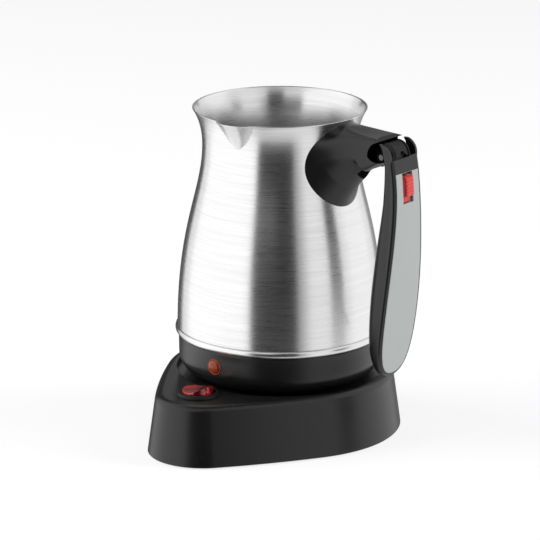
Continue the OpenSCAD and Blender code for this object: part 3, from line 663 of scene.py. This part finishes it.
def build_vessel():
    """The hem, the wall, the thin rounded rim and the inner wall are one run of rings. The
    rim's rings move in on a half circle. Flat rings in line with the wall's points close the
    vessel underneath and inside."""
    hem_up = HEM_UP / 2 * (1 + np.sin(np.radians(np.linspace(-90, 90, 13))))
    hem_in = 0.1 - HEM_OUT * np.cos(np.radians(np.linspace(-90, 90, 13)))
    low = np.linspace(HEM_UP + 0.15, VESSEL_UP - 18, 110)
    high = np.linspace(VESSEL_UP - 17.6, VESSEL_UP - 0.4, 60)
    outer_up = np.concatenate([hem_up, [HEM_UP + 0.1], low, high])
    outer_in = np.concatenate([hem_in, [0.35], 0 * low, 0 * high])
    bend = np.radians(np.linspace(15, 165, 7))
    rim_up = VESSEL_UP - 0.3 + 0.4 * np.sin(bend)
    rim_in = SHEET / 2 * (1 - np.cos(bend))
    inner_up = np.concatenate([high[::-1], low[::-1]])
    inner_in = np.full(len(inner_up), SHEET)
    ups = np.concatenate([outer_up, rim_up, inner_up])
    inward = np.concatenate([outer_in, rim_in, inner_in])
    grid = vessel_grid(ups, inward)
    angle = np.arctan2(grid[-1, :, 1], grid[-1, :, 0])

    def disc(radii, heights):
        r, z = np.array(radii)[:, None], steel_z + np.array(heights)[:, None]
        return np.stack([r * np.cos(angle), r * np.sin(angle), z + 0 * angle], -1)

    under = disc([20, FOOT_R - 6], [0.02, 0.02])
    bottom = disc([FOOT_R - 1.6, FOOT_R - 3, FOOT_R - 5.5, 30, 12], [3.0, 1.8, 1.4, 1.4, 1.4])
    return grid_mesh("vessel", np.concatenate([under, grid, bottom]))


link("steel_vessel", build_vessel(), "pot", "brushed_steel", ["vessel"], 50)

# %% [markdown]
# ## The handle's bracket
# A trumpet-shaped moulding is screwed to the neck. Its mouth is a round flange that follows the
# vessel, and its other end is a flat tongue over the hinge. A section is a superellipse: round
# at the mouth and square at the tongue. Joining just those two would make a straight cone, so
# the sizes follow curves of their own from one end to the other. Cylinders along the hinge axis
# then cut the room that the handle's arms swing in, as the mould's side cores do.

# %% The bracket
hinge_low, hinge_high = corners("hinge_pin")
HINGE_X, _, HINGE_Z = (hinge_low + hinge_high) / 2
FLANGE_R = 23.2
MOUTH_UP = 98
TONGUE_X = 75.2
TONGUE_TOP_X = 74
TONGUE_Y = 10.8
CHAMFER_X = 71
ROOF_ARCH = 1.0
EAR_R = 7.5
KNUCKLE_R = 6.6
KNUCKLE_Y = 5.8
SCOOP_R = 8.1
SCOOP_Y = 6.6
POCKET_Y = 5.85
LIP_UP = 106

roof = bezier([[0, MOUTH_UP + FLANGE_R], [0.33, 119.4], [0.6, 118.4], [1, 118.5]])
keel = bezier([[0, MOUTH_UP - FLANGE_R], [0.14, 87.3], [0.5, 97.45], [1, 105.7]])
flank = bezier([[0, FLANGE_R], [0.31, 13.6], [0.57, TONGUE_Y], [1, TONGUE_Y]])


def bracket_grid(steps, count=144):
    """Rings of the bracket: x runs from the vessel to the tongue, the height lies between keel
    and roof and the width within the flank, each by a power of the sine or cosine. The upper
    half grows square and falls off towards the sides. The lower half is keel-shaped up to a
    step near two thirds, from where it is a square channel. A plane bevels the tongue's top."""
    s = steps[:, None]
    a = np.linspace(0, 2 * np.pi, count, endpoint=False)[None, :]
    channel = 1 / (1 + np.exp((0.667 - s) / 0.02))
    below = 2 - 0.475 * np.clip(s / 0.2, 0, 1) * (1 - channel) + 6 * channel
    exponent = 2 / np.where(np.sin(a) > 0, 2 + 9 * s**2, below)
    up, side = power(np.sin(a), exponent), power(np.cos(a), exponent)
    top, low, wide = (read(c, s, 0, 1) for c in (roof, keel, flank))
    z = (top + low) / 2 + (top - low) / 2 * up - np.where(up > 0, ROOF_ARCH * (s * side)**2, 0)
    mouth_r = vessel_radius(MOUTH_UP + FLANGE_R * np.sin(a))
    mouth_x = np.sqrt(mouth_r**2 - (FLANGE_R * np.cos(a))**2) - 0.8
    x = mouth_x + (TONGUE_X - mouth_x) * s
    z = np.minimum(z, roof[-1, 1] - 0.4 * (x - CHAMFER_X))
    return np.stack([x, wide * side, steel_z + z], -1)


def prism(points, y0, y1):
    """Closed prism along Y of a profile of x and z that turns clockwise seen from -Y."""
    points = np.array(points, float)
    return grid_mesh("prism", np.stack([np.insert(points, 1, y, axis=1) for y in (y0, y1)]))


def swing_room(radius, y0, y1):
    """Room round the hinge: a circle whose lower side is cut off by the channel's lip."""
    lip = np.array([[84, -0.3], [75.2, -0.2], [71.4, 0.1], [69.3, 1], [68, 2.2]])
    top = arc((HINGE_X, HINGE_Z), radius, 186, 90, 40)
    return prism(np.vstack([lip + [0, steel_z + LIP_UP], top, [[84, top[-1, 1]]]]), y0, y1)


def pocket(x0, x1, low, high):
    """Part of the bracket's core, a little wider than the knuckle's tail that sits in it."""
    return block((x0, -POCKET_Y, steel_z + low), (x1, POCKET_Y, steel_z + high))


def bracket_cutters():
    """What is cut out of the bracket: the vessel, the swing room beside the knuckle and over
    it, the space over the tongue's end and the core that is open below."""
    core_up = np.linspace(66, 124, 60)
    core = revolve(np.column_stack([vessel_radius(core_up) - 0.3, steel_z + core_up]))
    return [grid_mesh("core", core),
            swing_room(SCOOP_R, SCOOP_Y, 20),
            swing_room(SCOOP_R, -20, -SCOOP_Y),
            swing_room(SCOOP_R - 0.2, -KNUCKLE_Y - 0.2, KNUCKLE_Y + 0.2),
            block((TONGUE_TOP_X, -20, steel_z + 108), (90, 20, steel_z + 130)),
            pocket(57, 67.6, 58, 113.3),
            pocket(60, 82, LIP_UP, 113.4)]


bracket_steps = np.concatenate([np.linspace(0, 0.58, 48), np.linspace(0.59, 0.76, 30),
                                np.linspace(0.77, 1, 24)])
# painted shade: the cut faces of the pockets and the swing room are flagged and get the near-black
# finish
bracket_mesh = carve(grid_mesh("bracket", bracket_grid(bracket_steps)), bracket_cutters(),
                     inner=True)
link("bracket", bracket_mesh, "pot", "charcoal_plastic", ["handle_bracket"], 28)

# %% [markdown]
# ## The bracket's screws
# Two screws in the bracket's core hold it to a curved plate that lies on the neck. A helix could
# cut their threads, but those are hidden. So each is a profile turned about a line along X, with
# a socket sunk into its head.


# %% The bracket's screws
def turned_sideways(profile, z, count=48):
    """A profile of radius and distance turned about a line along X at height z."""
    a = np.linspace(0, 2 * np.pi, count, endpoint=False)
    r, out = profile[:, 0:1], profile[:, 1:2]
    return np.stack([out + 0 * a, r * np.cos(a), z + r * np.sin(a)], -1)


SCREW_UP = 7
screw = np.array([[0.3, 42.6], [1.5, 42.9], [1.5, 50.4], [2.3, 50.4], [2.3, 51.2], [1.9, 51.6],
                  [0.9, 51.7], [0.8, 51], [0.1, 50.9]])
screws = carve(grid_mesh("screw", turned_sideways(screw, steel_z + MOUTH_UP - SCREW_UP)),
               [grid_mesh("screw", turned_sideways(screw, steel_z + MOUTH_UP + SCREW_UP))],
               "UNION")
link("bracket_screw_pair", screws, "pot", "bright_steel", ["bracket_screws"], 34, "black_steel")

# %% [markdown]
# ## The hinge's knuckle
# Between the handle's cheeks sits a drum with a flange at each end. The latch rides in a
# groove round its front, and a tapered notch at the groove's upper end stops it. A lathe shape
# with a cut groove would need a cutter for every width, so the rings follow the groove's edges.

# %% The knuckle
GROOVE_DEPTH = 1.8
groove_half = np.array([[-3, 4.4], [3, 3.2], [8, 2.8], [14, 1.4], [21, 1.2]])


def knuckle_drum(count=240):
    """Revolved drum: rings across the width and points at every angle round the hinge. Each
    end has a hub, a recess and a flange. Between them the rings draw together to the
    groove's edges, which follow its half width at every angle, and its bottom lies deeper."""
    rings_each = 9
    a = np.linspace(np.pi, -np.pi, count, endpoint=False)
    turn_now = np.degrees(a)
    half = np.interp(turn_now, groove_half[:, 0], groove_half[:, 1])
    deep = GROOVE_DEPTH * np.clip(np.minimum(turn_now + 76, 22 - turn_now), 0, 1)
    end = np.array([[0, 2], [0, 2.9], [0.9, 3], [0.9, 5.5], [0, 5.6], [0, 6.8], [0.15, 7.1],
                    [0.75, 7.1], [0.9, 6.9], [0.95, 6.1], [1.2, 6.1], [1.25, KNUCKLE_R]])
    flange = end[:, 0:1] - KNUCKLE_Y + 0 * half
    drum_y = KNUCKLE_Y - end[-1, 0]
    beside = -drum_y + (drum_y - half) * np.linspace(0.02, 1, rings_each)[:, None]
    bottom = (half - 0.05) * np.linspace(-1, 1, rings_each)[:, None]
    across = np.vstack([flange, beside, bottom, -beside[::-1], -flange[::-1]])
    radius = np.concatenate([end[:, 1], np.full(3 * rings_each, KNUCKLE_R), end[::-1, 1]])
    flush = np.zeros(len(end) + rings_each)
    lowered = np.concatenate([flush, np.ones(rings_each), flush])
    r = radius[:, None] - lowered[:, None] * deep
    return np.stack([HINGE_X + r * np.cos(a), across, HINGE_Z + r * np.sin(a)], -1)


tail = np.array([[61, 109.4], [61, 113.3], [72.6, 113.3], [74, 111], [74, 107.5], [72.6, 106.4],
                 [69, 106.4], [66.3, 109.4]]) + [0, steel_z]
knuckle = carve(grid_mesh("knuckle", knuckle_drum()),
                [prism(tail, -KNUCKLE_Y + 0.1, KNUCKLE_Y - 0.1)], "UNION")
knuckle = carve(knuckle, [prism([[60, 140], [60, 149.5], [76.2, 160.4], [76.2, 140]], -9, 9)])
link("knuckle", knuckle, "pot", "charcoal_plastic", ["hinge_knuckle"], 30, "black_plastic")

# %% [markdown]
# ## The handle
# The handle is two mouldings and a plate. The back shell is D-shaped and carries the two
# cheeks that straddle the knuckle. The front frame is a slab that follows one curve seen from
# the side and another seen from the front, with a bevel all round. Both are worked out from
# the same three curves, so they meet without a gap.

# %% The handle's curves
TOE_Z = 42.0
BRIDGE_Z = HINGE_Z - 0.5
EAR_Y = 11.4
CHEEK = 1.4
GRIP_Y = 15.2
RIM_BACK = 1.65
BODY_Z = 157.0
STRAIGHT_Z = 152.0
BOSS_R = 2.6
PIN_R = 1.65

face = bezier([[HINGE_X + 8.2, BRIDGE_Z], [HINGE_X + 13.7, 140], [86, 95], [76.6, TOE_Z]])
back = np.vstack([bezier([[78.2, BODY_Z], [76, 128], [68.8, 103], [68.9, 62]]),
                  bezier([[68.9, 62], [68.9, 54], [70.6, 46], [74, TOE_Z]])[1:]])
outline = np.vstack([[[EAR_Y, BRIDGE_Z]],
                     bezier([[EAR_Y, STRAIGHT_Z], [EAR_Y, 128], [GRIP_Y, 105], [GRIP_Y, 78]]),
                     bezier([[GRIP_Y, 78], [GRIP_Y, 58], [13.5, TOE_Z], [0, TOE_Z]])[1:]])


def even(line, count):
    """The line's points again, at equal steps along it."""
    run = np.concatenate([[0], np.cumsum(np.hypot(*np.diff(line, axis=0).T))])
    return np.column_stack([np.interp(np.linspace(0, run[-1], count), run, column)
                            for column in line.T])


outline = even(outline, 500)
way = np.gradient(outline, axis=0)
way /= np.hypot(way[:, 0], way[:, 1])[:, None]


def half_width(z):
    """Half width of the handle at a height."""
    return read(outline, z)


def face_x(z):
    """Distance of the front face from the pot's axis at a height."""
    return read(face, z)


print("handle", round(2 * GRIP_Y, 1), "mm wide")


# %% The back shell
def shell_grid(heights, count=72):
    """D-shaped rings: flat in front, and behind a superellipse that grows squarer towards the
    cheeks. Above the hinge the front edge follows the circle of the cheeks."""
    z = heights[:, None]
    a = np.linspace(0, np.pi, count)[None, :]
    exponent = np.interp(z, [TOE_Z, 138, 158], [0.55, 0.55, 0.3])
    above = np.clip(z - HINGE_Z, 0, EAR_R - 0.01)
    circle = HINGE_X + np.sqrt(EAR_R**2 - above**2)
    front = np.minimum(np.where(z > 158, HINGE_X + EAR_R, face_x(z) - RIM_BACK), circle)
    rear = np.where(z < BODY_Z, read(back, z),
                    np.interp(z, [BODY_Z, 160.4, 163.6, 167.9, 170.1], [78.2, 78, 76.9, 76, 74.8]))
    rear = np.maximum(rear, np.where(z > BODY_Z, 2 * HINGE_X - circle, 0))
    rear = np.minimum(rear, front - np.where(z < 100, 2.5, 0.3))
    wide = np.minimum(half_width(z), EAR_Y + np.clip(150 - z, 0, 99))
    x = front - (front - rear) * power(np.sin(a), exponent)
    return np.stack([x, wide * power(np.cos(a), exponent), np.broadcast_to(z, x.shape)], -1)


toe_steps = TOE_Z + 0.1 + 30 * (1 - np.cos(np.linspace(0.02, np.pi / 2, 30)))
shell_steps = np.concatenate([toe_steps, np.linspace(73, 161, 90), np.linspace(162, 170, 24)])
shell = carve(grid_mesh("shell", shell_grid(shell_steps)), [
    block((60, -EAR_Y + CHEEK, BODY_Z), (99, EAR_Y - CHEEK, 180)),
    bar(KNUCKLE_R + 0.9, -EAR_Y + CHEEK, EAR_Y - CHEEK, (HINGE_X, HINGE_Z))])
SLIDER_X = corners("latch_slider")[0][0]
shell = carve(shell, [block((SLIDER_X - 0.2, -5.6, 122), (SLIDER_X + 3.4, 5.6, 180)),
                      block((SLIDER_X, -5.2, 134.8), (90, 5.2, 156))])
handle_parts = [link("handle_shell", shell, "handle", "charcoal_plastic", ["handle_back"], 32)]
for side in (-1, 1):
    ends = sorted((side * (KNUCKLE_Y + 0.3), side * (EAR_Y - CHEEK + 0.05)))
    boss = carve(bar(BOSS_R, *ends, (HINGE_X, HINGE_Z), 64),
                 [bar(PIN_R, -20, 20, (HINGE_X, HINGE_Z), 48)])
    # painted shade: the bosses get the near-black finish, for the shade they lie in between the
    # cheeks and the knuckle
    handle_parts.append(link(f"hinge_boss_{'near' if side < 0 else 'far'}", boss, "handle",
                             "charcoal_plastic", [], 34, "painted_shade_plastic"))

# %% [markdown]
# ## The front frame and the plate
# The frame is a thin bevelled slab, and a grey plate lies in its recess. An outline could be
# extruded and bevelled by modifiers, but it also has to follow the curved face. So each layer of
# the slab is the same outline, moved in and back by an amount of its own.


# %% The front frame and the plate
def shield(layers, top, across=25):
    """Slab that follows the face. Each layer is the outline moved in by an inset, clipped at
    the height top and carried to a depth behind the face. A ring runs through all layers on
    one side, over the back to the other side and across the face."""
    halves = []
    for inset, depth in layers:
        line = outline + inset * np.column_stack([way[:, 1], -way[:, 0]])
        line = line[(line[:, 0] > 0) & (line[:, 1] < top)]
        line = even(np.vstack([[line[0, 0], top], line, [0, line[-1, 1]]]), 240)[::-1]
        halves.append(np.column_stack([face_x(line[:, 1]) + depth, line]))
    halves = np.stack(halves, 1)
    share = np.linspace(-1, 1, across)[1:-1, None] * [0, 1, 0] + [1, 0, 1]
    lid = halves[:, -1:, :] * share
    return np.concatenate([halves[:, ::-1], halves * [1, -1, 1], lid], 1)


WINDOW_Y = 4.2
WINDOW_H = 16.4
PLATE_TOP = corners("handle_plate")[1][2]
WINDOW_LOW = PLATE_TOP - WINDOW_H


def window(grow):
    """Cutter of the opening that the latch button slides in, larger by grow on every side."""
    return block((75, -WINDOW_Y - grow, WINDOW_LOW - grow),
                 (99, WINDOW_Y + grow, PLATE_TOP - 0.1 + grow))


frame_slab = grid_mesh("frame", shield(
    [(0.15, -RIM_BACK + 0.02), (0.15, -1.35), (0.3, -0.95), (0.55, -0.62), (1.5, -0.06),
     (1.75, 0)], BRIDGE_Z))
front_frame = carve(frame_slab, [
    grid_mesh("recess", shield([(1.95, -1.22), (1.95, 3)], PLATE_TOP + 0.1)),
    bar(KNUCKLE_R + 0.8, -20, 20, (HINGE_X, HINGE_Z)), window(0.05)])
handle_parts.append(link("handle_frame", front_frame, "handle", "charcoal_plastic",
                         ["handle_front"], 20))

plate = carve(grid_mesh("plate", shield([(2.05, -1.2), (2.05, -0.2), (2.12, -0.06), (2.3, 0)],
                                        PLATE_TOP)), [window(0)])
handle_parts.append(link("inlay_plate", plate, "handle", "grey_plate", ["handle_plate"], 30))

# %% [markdown]
# ## The latch button
# The thumb slides a ribbed button down to free the handle. The ribs could be cut with a row of
# bars, but rounded waves in the height come with the surface itself, and a high power of the
# distance from the middle softens the outline. Under the button lies its flat foot, which
# closes the window below it.

# %% The latch button
button_low, button_high = corners("latch_button")
# the ribbed part ends this far below the solid's top
BUTTON_SHORT = 0.9
BUTTON_H = button_high[2] - BUTTON_SHORT - button_low[2]
BUTTON_Y = button_high[1]
BUTTON_OUT = 1.8
RIBS = 6


def button_grid(across=41, along=121):
    """Rings across the width. The front's height over the face is a block with a wave for the
    ribs, times the root of one less the ninth power of the share of its half height, times the
    root of one less the seventh power of that of its half width. Its back lies on the slider."""
    y = np.linspace(-BUTTON_Y, BUTTON_Y, across)[:, None]
    t = np.linspace(-1, 1, along)[None, :]
    z = button_low[2] + BUTTON_H / 2 * (1 + t)
    edge = np.sqrt(np.clip(1 - np.abs(t)**9, 0, 1)) * np.sqrt(
        np.clip(1 - np.abs(y / BUTTON_Y)**7, 0, 1))
    rib = 0.32 * np.abs(np.sin(np.pi * RIBS / 2 * (t + 1)))**0.7
    base = face_x(z) - 1.0
    front = base + (1.0 + BUTTON_OUT - 0.3 + rib) * edge
    grid = np.stack([front, np.broadcast_to(y, front.shape), np.broadcast_to(z, front.shape)], -1)
    foot = np.stack([np.full((across, 2), SLIDER_X + 3.2), np.broadcast_to(y, (across, 2)),
                     np.broadcast_to([button_low[2] + BUTTON_H - 0.6, button_low[2] + 0.6],
                                     (across, 2))], -1)
    return np.concatenate([grid, foot], 1)


foot_z = np.array([button_low[2] + 2, WINDOW_LOW + 0.2])
foot_x = face_x(foot_z) - 1.7
button = carve(grid_mesh("button", button_grid()),
               [prism([[foot_x[1] - 0.8, foot_z[1]], [foot_x[0] - 0.8, foot_z[0]],
                       [foot_x[0], foot_z[0]], [foot_x[1], foot_z[1]]], -3.9, 3.9)], "UNION")
handle_parts.append(link("latch_thumb", button, "latch", "red_button", ["latch_button"], 40))

# A choice of looks: a real pot mirrors its handle. Here mirrored rays pass through these pieces,
# and the bands of the steel beside them stay even.
for part in handle_parts:
    part.visible_glossy = False
print(len(handle_parts), "pieces of the handle")

# %% [markdown]
# ## The base
# Seen from above the base is an egg of four tangent arcs: the switch's lobe, two long sides and
# the round back. A free curve could draw it too, but an arc that is moved in stays an arc, and
# so the points of all rings stay in line. The wall leans in as a mould's draft needs, and rolls
# over into the top. From there the rings turn from the egg into the circle of the seat that the
# pot stands in, go down its wall, and come back inside, so that the housing is a real shell.

# %% The base's outline
BASE_H = 33.0
BASE_R = 65.5
LOBE_R = 30.0
LOBE_Y = 63.4
SIDE_R = 380.0
DRAFT = 4.0
EDGE = 4.0
FOOT_GAP = 0.6
SHELL = 2.4
SEAT_R = 55.5
SEAT_Z = 30.0
TURRET_HOLE = 16.3

# the side arcs touch the lobe and the back from within, which fixes their centres
arc_back = ((SIDE_R - BASE_R)**2 - (SIDE_R - LOBE_R)**2 + LOBE_Y**2) / (2 * LOBE_Y)
arc_side = math.sqrt((SIDE_R - BASE_R)**2 - arc_back**2)
lobe_end = math.atan2(arc_side, LOBE_Y - arc_back)
back_start = math.atan2(arc_side, -arc_back)
half_turn = np.concatenate([np.linspace(0, lobe_end, 60, endpoint=False),
                            np.linspace(lobe_end, back_start, 50, endpoint=False),
                            np.linspace(back_start, np.pi, 130, endpoint=False)])
turn = np.concatenate([half_turn, [np.pi], -half_turn[:0:-1]])


def egg(inset):
    """The outline moved in by inset: at every turn of its normal from -Y, the centre of the arc
    that has this turn plus its radius along the normal."""
    outward = np.column_stack([np.sin(turn), -np.cos(turn)])
    size = np.abs(turn)[:, None]
    side = np.column_stack([-np.sign(turn) * arc_side, np.full(len(turn), -arc_back)])
    lobe = size <= lobe_end
    sides = size <= back_start
    centre = np.where(lobe, [0, -LOBE_Y], np.where(sides, side, 0))
    radius = np.where(lobe, LOBE_R, np.where(sides, SIDE_R, BASE_R))
    return centre + (radius - inset) * outward


def level(points, z):
    """A flat line of points at height z."""
    return np.insert(points, 2, z, axis=1)


def circle(radius):
    """Circle about the pot's axis whose points lie in line with the outline's."""
    points = egg(DRAFT + EDGE)
    return radius * points / np.hypot(*points.T)[:, None]


def leaning(z):
    """How far the drafted wall has moved in at a height."""
    return DRAFT * (z - FOOT_GAP) / (BASE_H - EDGE - FOOT_GAP)


print("base outline of", len(turn), "points")


# %% The base housing
def base_grid():
    """Rings from the foot up the wall, over the edge, across the top, down into the seat and to
    the turret's hole, then back along the inside to the foot."""
    rings = [level(egg(0.75), FOOT_GAP), level(egg(0.4), FOOT_GAP + 0.12),
             level(egg(0.12), FOOT_GAP + 0.45)]
    rings += [level(egg(leaning(z)), z) for z in np.linspace(FOOT_GAP + 1, BASE_H - EDGE, 14)]
    rings += [level(egg(DRAFT + EDGE * (1 - math.cos(a))), BASE_H - EDGE * (1 - math.sin(a)))
              for a in np.linspace(0, np.pi / 2, 14)[1:]]
    rim, seat = egg(DRAFT + EDGE), circle(SEAT_R + 0.9)
    rings += [level(rim + (seat - rim) * t, BASE_H) for t in (0.06, 0.3, 0.6, 0.9, 1)]
    rings += [level(circle(SEAT_R + 0.9 - 0.9 * math.sin(a)),
                    BASE_H - 0.9 * (1 - math.cos(a))) for a in np.linspace(0.2, np.pi / 2, 6)]
    rings += [level(circle(r), z) for r, z in (
        (SEAT_R, SEAT_Z + 0.8), (SEAT_R - 0.25, SEAT_Z + 0.2), (SEAT_R - 0.9, SEAT_Z),
        (TURRET_HOLE, SEAT_Z), (TURRET_HOLE, SEAT_Z - SHELL),
        (SEAT_R + SHELL - 0.4, SEAT_Z - SHELL), (SEAT_R + SHELL - 0.3, SEAT_Z - SHELL + 0.4))]
    rings += [level(egg(leaning(z) + SHELL), z) for z in (25, 14, FOOT_GAP + 0.2)]
    return np.stack(rings)


switch_low, switch_high = corners("switch_body")
SWITCH_Y = (switch_low[1] + switch_high[1]) / 2
SWITCH_HOLE_R = 10.05
GLAND_Z = 13
GLAND_R = 5.05
GLAND_SEAT_R = 6.65
hole_profile = np.array([[SWITCH_HOLE_R, 20], [SWITCH_HOLE_R, 40]])
switch_hole = revolve(hole_profile, 96) + [0, SWITCH_Y, 0]
gland_hole = bar(GLAND_R, 40, 90, (0, GLAND_Z))
gland_seat = bar(GLAND_SEAT_R, BASE_R - 3.4, 90, (0, GLAND_Z))
housing = carve(grid_mesh("housing", base_grid(), loop=True),
                [grid_mesh("hole", switch_hole), gland_hole, gland_seat])
link("housing", housing, "base", "charcoal_plastic", ["base_housing"], 30)

# %% [markdown]
# ## The switch
# A round rocker switch: a bezel snaps into the base's hole and a red rocker tilts inside it. The
# bezel is round, so one profile turned about the switch's own axis makes it, with its rolled
# edge in the profile where a Bevel modifier would need a width that fits every corner.

# %% The bezel
BEZEL_R = 11.35
BEZEL_IN = 9.0
bezel = np.array([[0.5, -14], [9.2, -14], [9.9, -13], [9.9, 0.02], [BEZEL_R - 0.1, 0.02],
                  [BEZEL_R, 0.12], [BEZEL_R, 0.45], [BEZEL_R - 0.14, 0.85],
                  [BEZEL_R - 0.42, 1.2], [BEZEL_R - 0.9, 1.58], [BEZEL_R - 1.35, 1.8],
                  [BEZEL_R - 1.75, 1.9], [BEZEL_IN + 0.35, 1.9], [BEZEL_IN + 0.1, 1.78],
                  [BEZEL_IN, 1.5], [BEZEL_IN, -7], [0.5, -7]]) + [0, BASE_H]
link("switch_bezel", grid_mesh("bezel", revolve(bezel, 144) + [0, SWITCH_Y, 0]), "base",
     "black_plastic", ["switch_body"], 40)

# %% [markdown]
# ## The rocker
# The rocker is a disc on two short pivots, and its two ends rise above its hollow middle. A
# hollow cut into a cylinder would leave a sharp edge to round off. Here one run of rings
# carries the hollow and the rounded edge, and all its points are then turned about the pivot.

# %% The rocker
ROCKER_R = 8.15
ROCKER_TILT = math.radians(10)
PIVOT_Z = BASE_H - 2


def rocker_grid(around=144):
    """Rings from the underside's middle out, up the side and in over the top. The top's height
    is a hollow between two raised ends: it grows with the distance from the middle line to the
    power 1.6, and drops on a quarter circle at the edge. The whole is tilted about its pivot."""
    a = np.linspace(0, 2 * np.pi, around, endpoint=False)
    radius = np.concatenate([[0.5, 6, ROCKER_R - 0.3, ROCKER_R], np.full(4, ROCKER_R),
                             ROCKER_R - np.array([0.08, 0.25, 0.5]),
                             np.linspace(ROCKER_R - 0.9, 0.3, 26)])[:, None]
    x, y = radius * np.cos(a), radius * np.sin(a)
    top = 4.5 + 1.75 * (np.abs(x) / ROCKER_R)**1.6
    drop = np.concatenate([np.zeros(8), [0.28, 0.1, 0.02], np.zeros(26)])[:, None]
    low = np.concatenate([[-4, -4, -4, -3.7], np.zeros(33)])[:, None]
    share = np.concatenate([np.zeros(4), [0, 0.4, 0.75, 0.93], np.ones(29)])[:, None]
    z = np.where(share > 0, -3.7 + (top + 3.7) * share - drop, low)
    turned = x * math.cos(ROCKER_TILT) - z * math.sin(ROCKER_TILT)
    lifted = x * math.sin(ROCKER_TILT) + z * math.cos(ROCKER_TILT)
    return np.stack([turned, y + SWITCH_Y, lifted + PIVOT_Z], -1)


rocker = carve(grid_mesh("rocker", rocker_grid()),
               [bar(1.2, SWITCH_Y - 9.6, SWITCH_Y + 9.6, (0, PIVOT_Z), 32)], "UNION")
link("rocker", rocker, "rocker", "red_translucent", ["rocker_button"], 24)

# %% [markdown]
# ## The skirt
# The black skirt carries the heater. It is a moulding turned about the pot's axis, rolled in at
# its foot to a circle that fits the seat, so its whole section is one closed profile. A Screw
# modifier could turn it too, but the finished grid can be cut for the lamp at once.

# %% The skirt
SKIRT_R = 54.5
lamp_low, lamp_high = corners("lamp_lens")
LAMP_Z = (lamp_low[2] + lamp_high[2]) / 2
LENS_HOLE_R = 3.65
skirt_low, skirt_high = corners("skirt")


def skirt_profile():
    """Outer side from the steel down and round the foot on a quarter ellipse, then in under
    the pot and back up inside."""
    top, low = skirt_high[2], skirt_low[2]
    edge_z = steel_z - 11
    a = np.radians(np.linspace(0, 90, 24))
    foot = np.column_stack([46 + (SKIRT_R - 46) * np.cos(a),
                            edge_z - (edge_z - low) * np.sin(a)])
    inner_a = np.radians(np.linspace(-80, 0, 8))
    inner = np.column_stack([43 + 8.6 * np.cos(inner_a), edge_z + 0.5 + 7 * np.sin(inner_a)])
    outer = [[SKIRT_R - 0.4, top], [SKIRT_R + 0.25, top - 0.1], [SKIRT_R + 0.4, top - 0.4],
             [SKIRT_R + 0.35, top - 1.5], [SKIRT_R + 0.1, top - 2.5], [SKIRT_R + 0.05, top - 6]]
    under = [[44.8, low], [44.8, low + 0.6], [40, low + 0.6], [40, low + 2.6]]
    lid = [[51.6, steel_z - 4.9], [49.8, steel_z - 4.4], [49.8, steel_z - 3.5],
           [52.6, steel_z - 3.5], [52.6, top]]
    return np.vstack([outer, foot, under, inner, lid])[::-1]


skirt_mesh = carve(grid_mesh("skirt_moulding", revolve(skirt_profile(), 256), loop=True),
                   [bar(LENS_HOLE_R, -60, -40, (0, LAMP_Z), 64)])
link("skirt_moulding", skirt_mesh, "pot", "charcoal_plastic", ["skirt"], 30)

# %% [markdown]
# ## The pilot lamp's lens
# A small red dome with a collar that lies on the skirt and a stem that goes through its hole.
# A scaled sphere and two cylinders could be joined for it, but one turned profile has no seams.

# %% The lamp's lens
LENS_R = 4.4


def turned_forward(profile, count=96):
    """A profile of radius and distance turned about the lamp's axis, which points to -Y."""
    a = np.linspace(0, 2 * np.pi, count, endpoint=False)
    r, out = profile[:, 0:1], profile[:, 1:2]
    return np.stack([r * np.cos(a), -out + 0 * a, LAMP_Z + r * np.sin(a)], -1)


dome = np.radians(np.linspace(4, 86, 16))
lens = np.vstack([[[0.2, 49], [3.55, 49], [3.55, SKIRT_R - 0.35], [LENS_R - 0.1, SKIRT_R - 0.35],
                   [LENS_R, SKIRT_R + 0.1], [LENS_R - 0.1, SKIRT_R + 0.3],
                   [LENS_R - 0.45, SKIRT_R + 0.4], [LENS_R - 0.7, SKIRT_R + 0.3]],
                  np.column_stack([(LENS_R - 0.75) * np.cos(dome),
                                   SKIRT_R + 0.3 + 1.35 * np.sin(dome)])])
link("pilot_lens", grid_mesh("lens", turned_forward(lens)), "pot", "amber_lens", ["lamp_lens"],
     40)
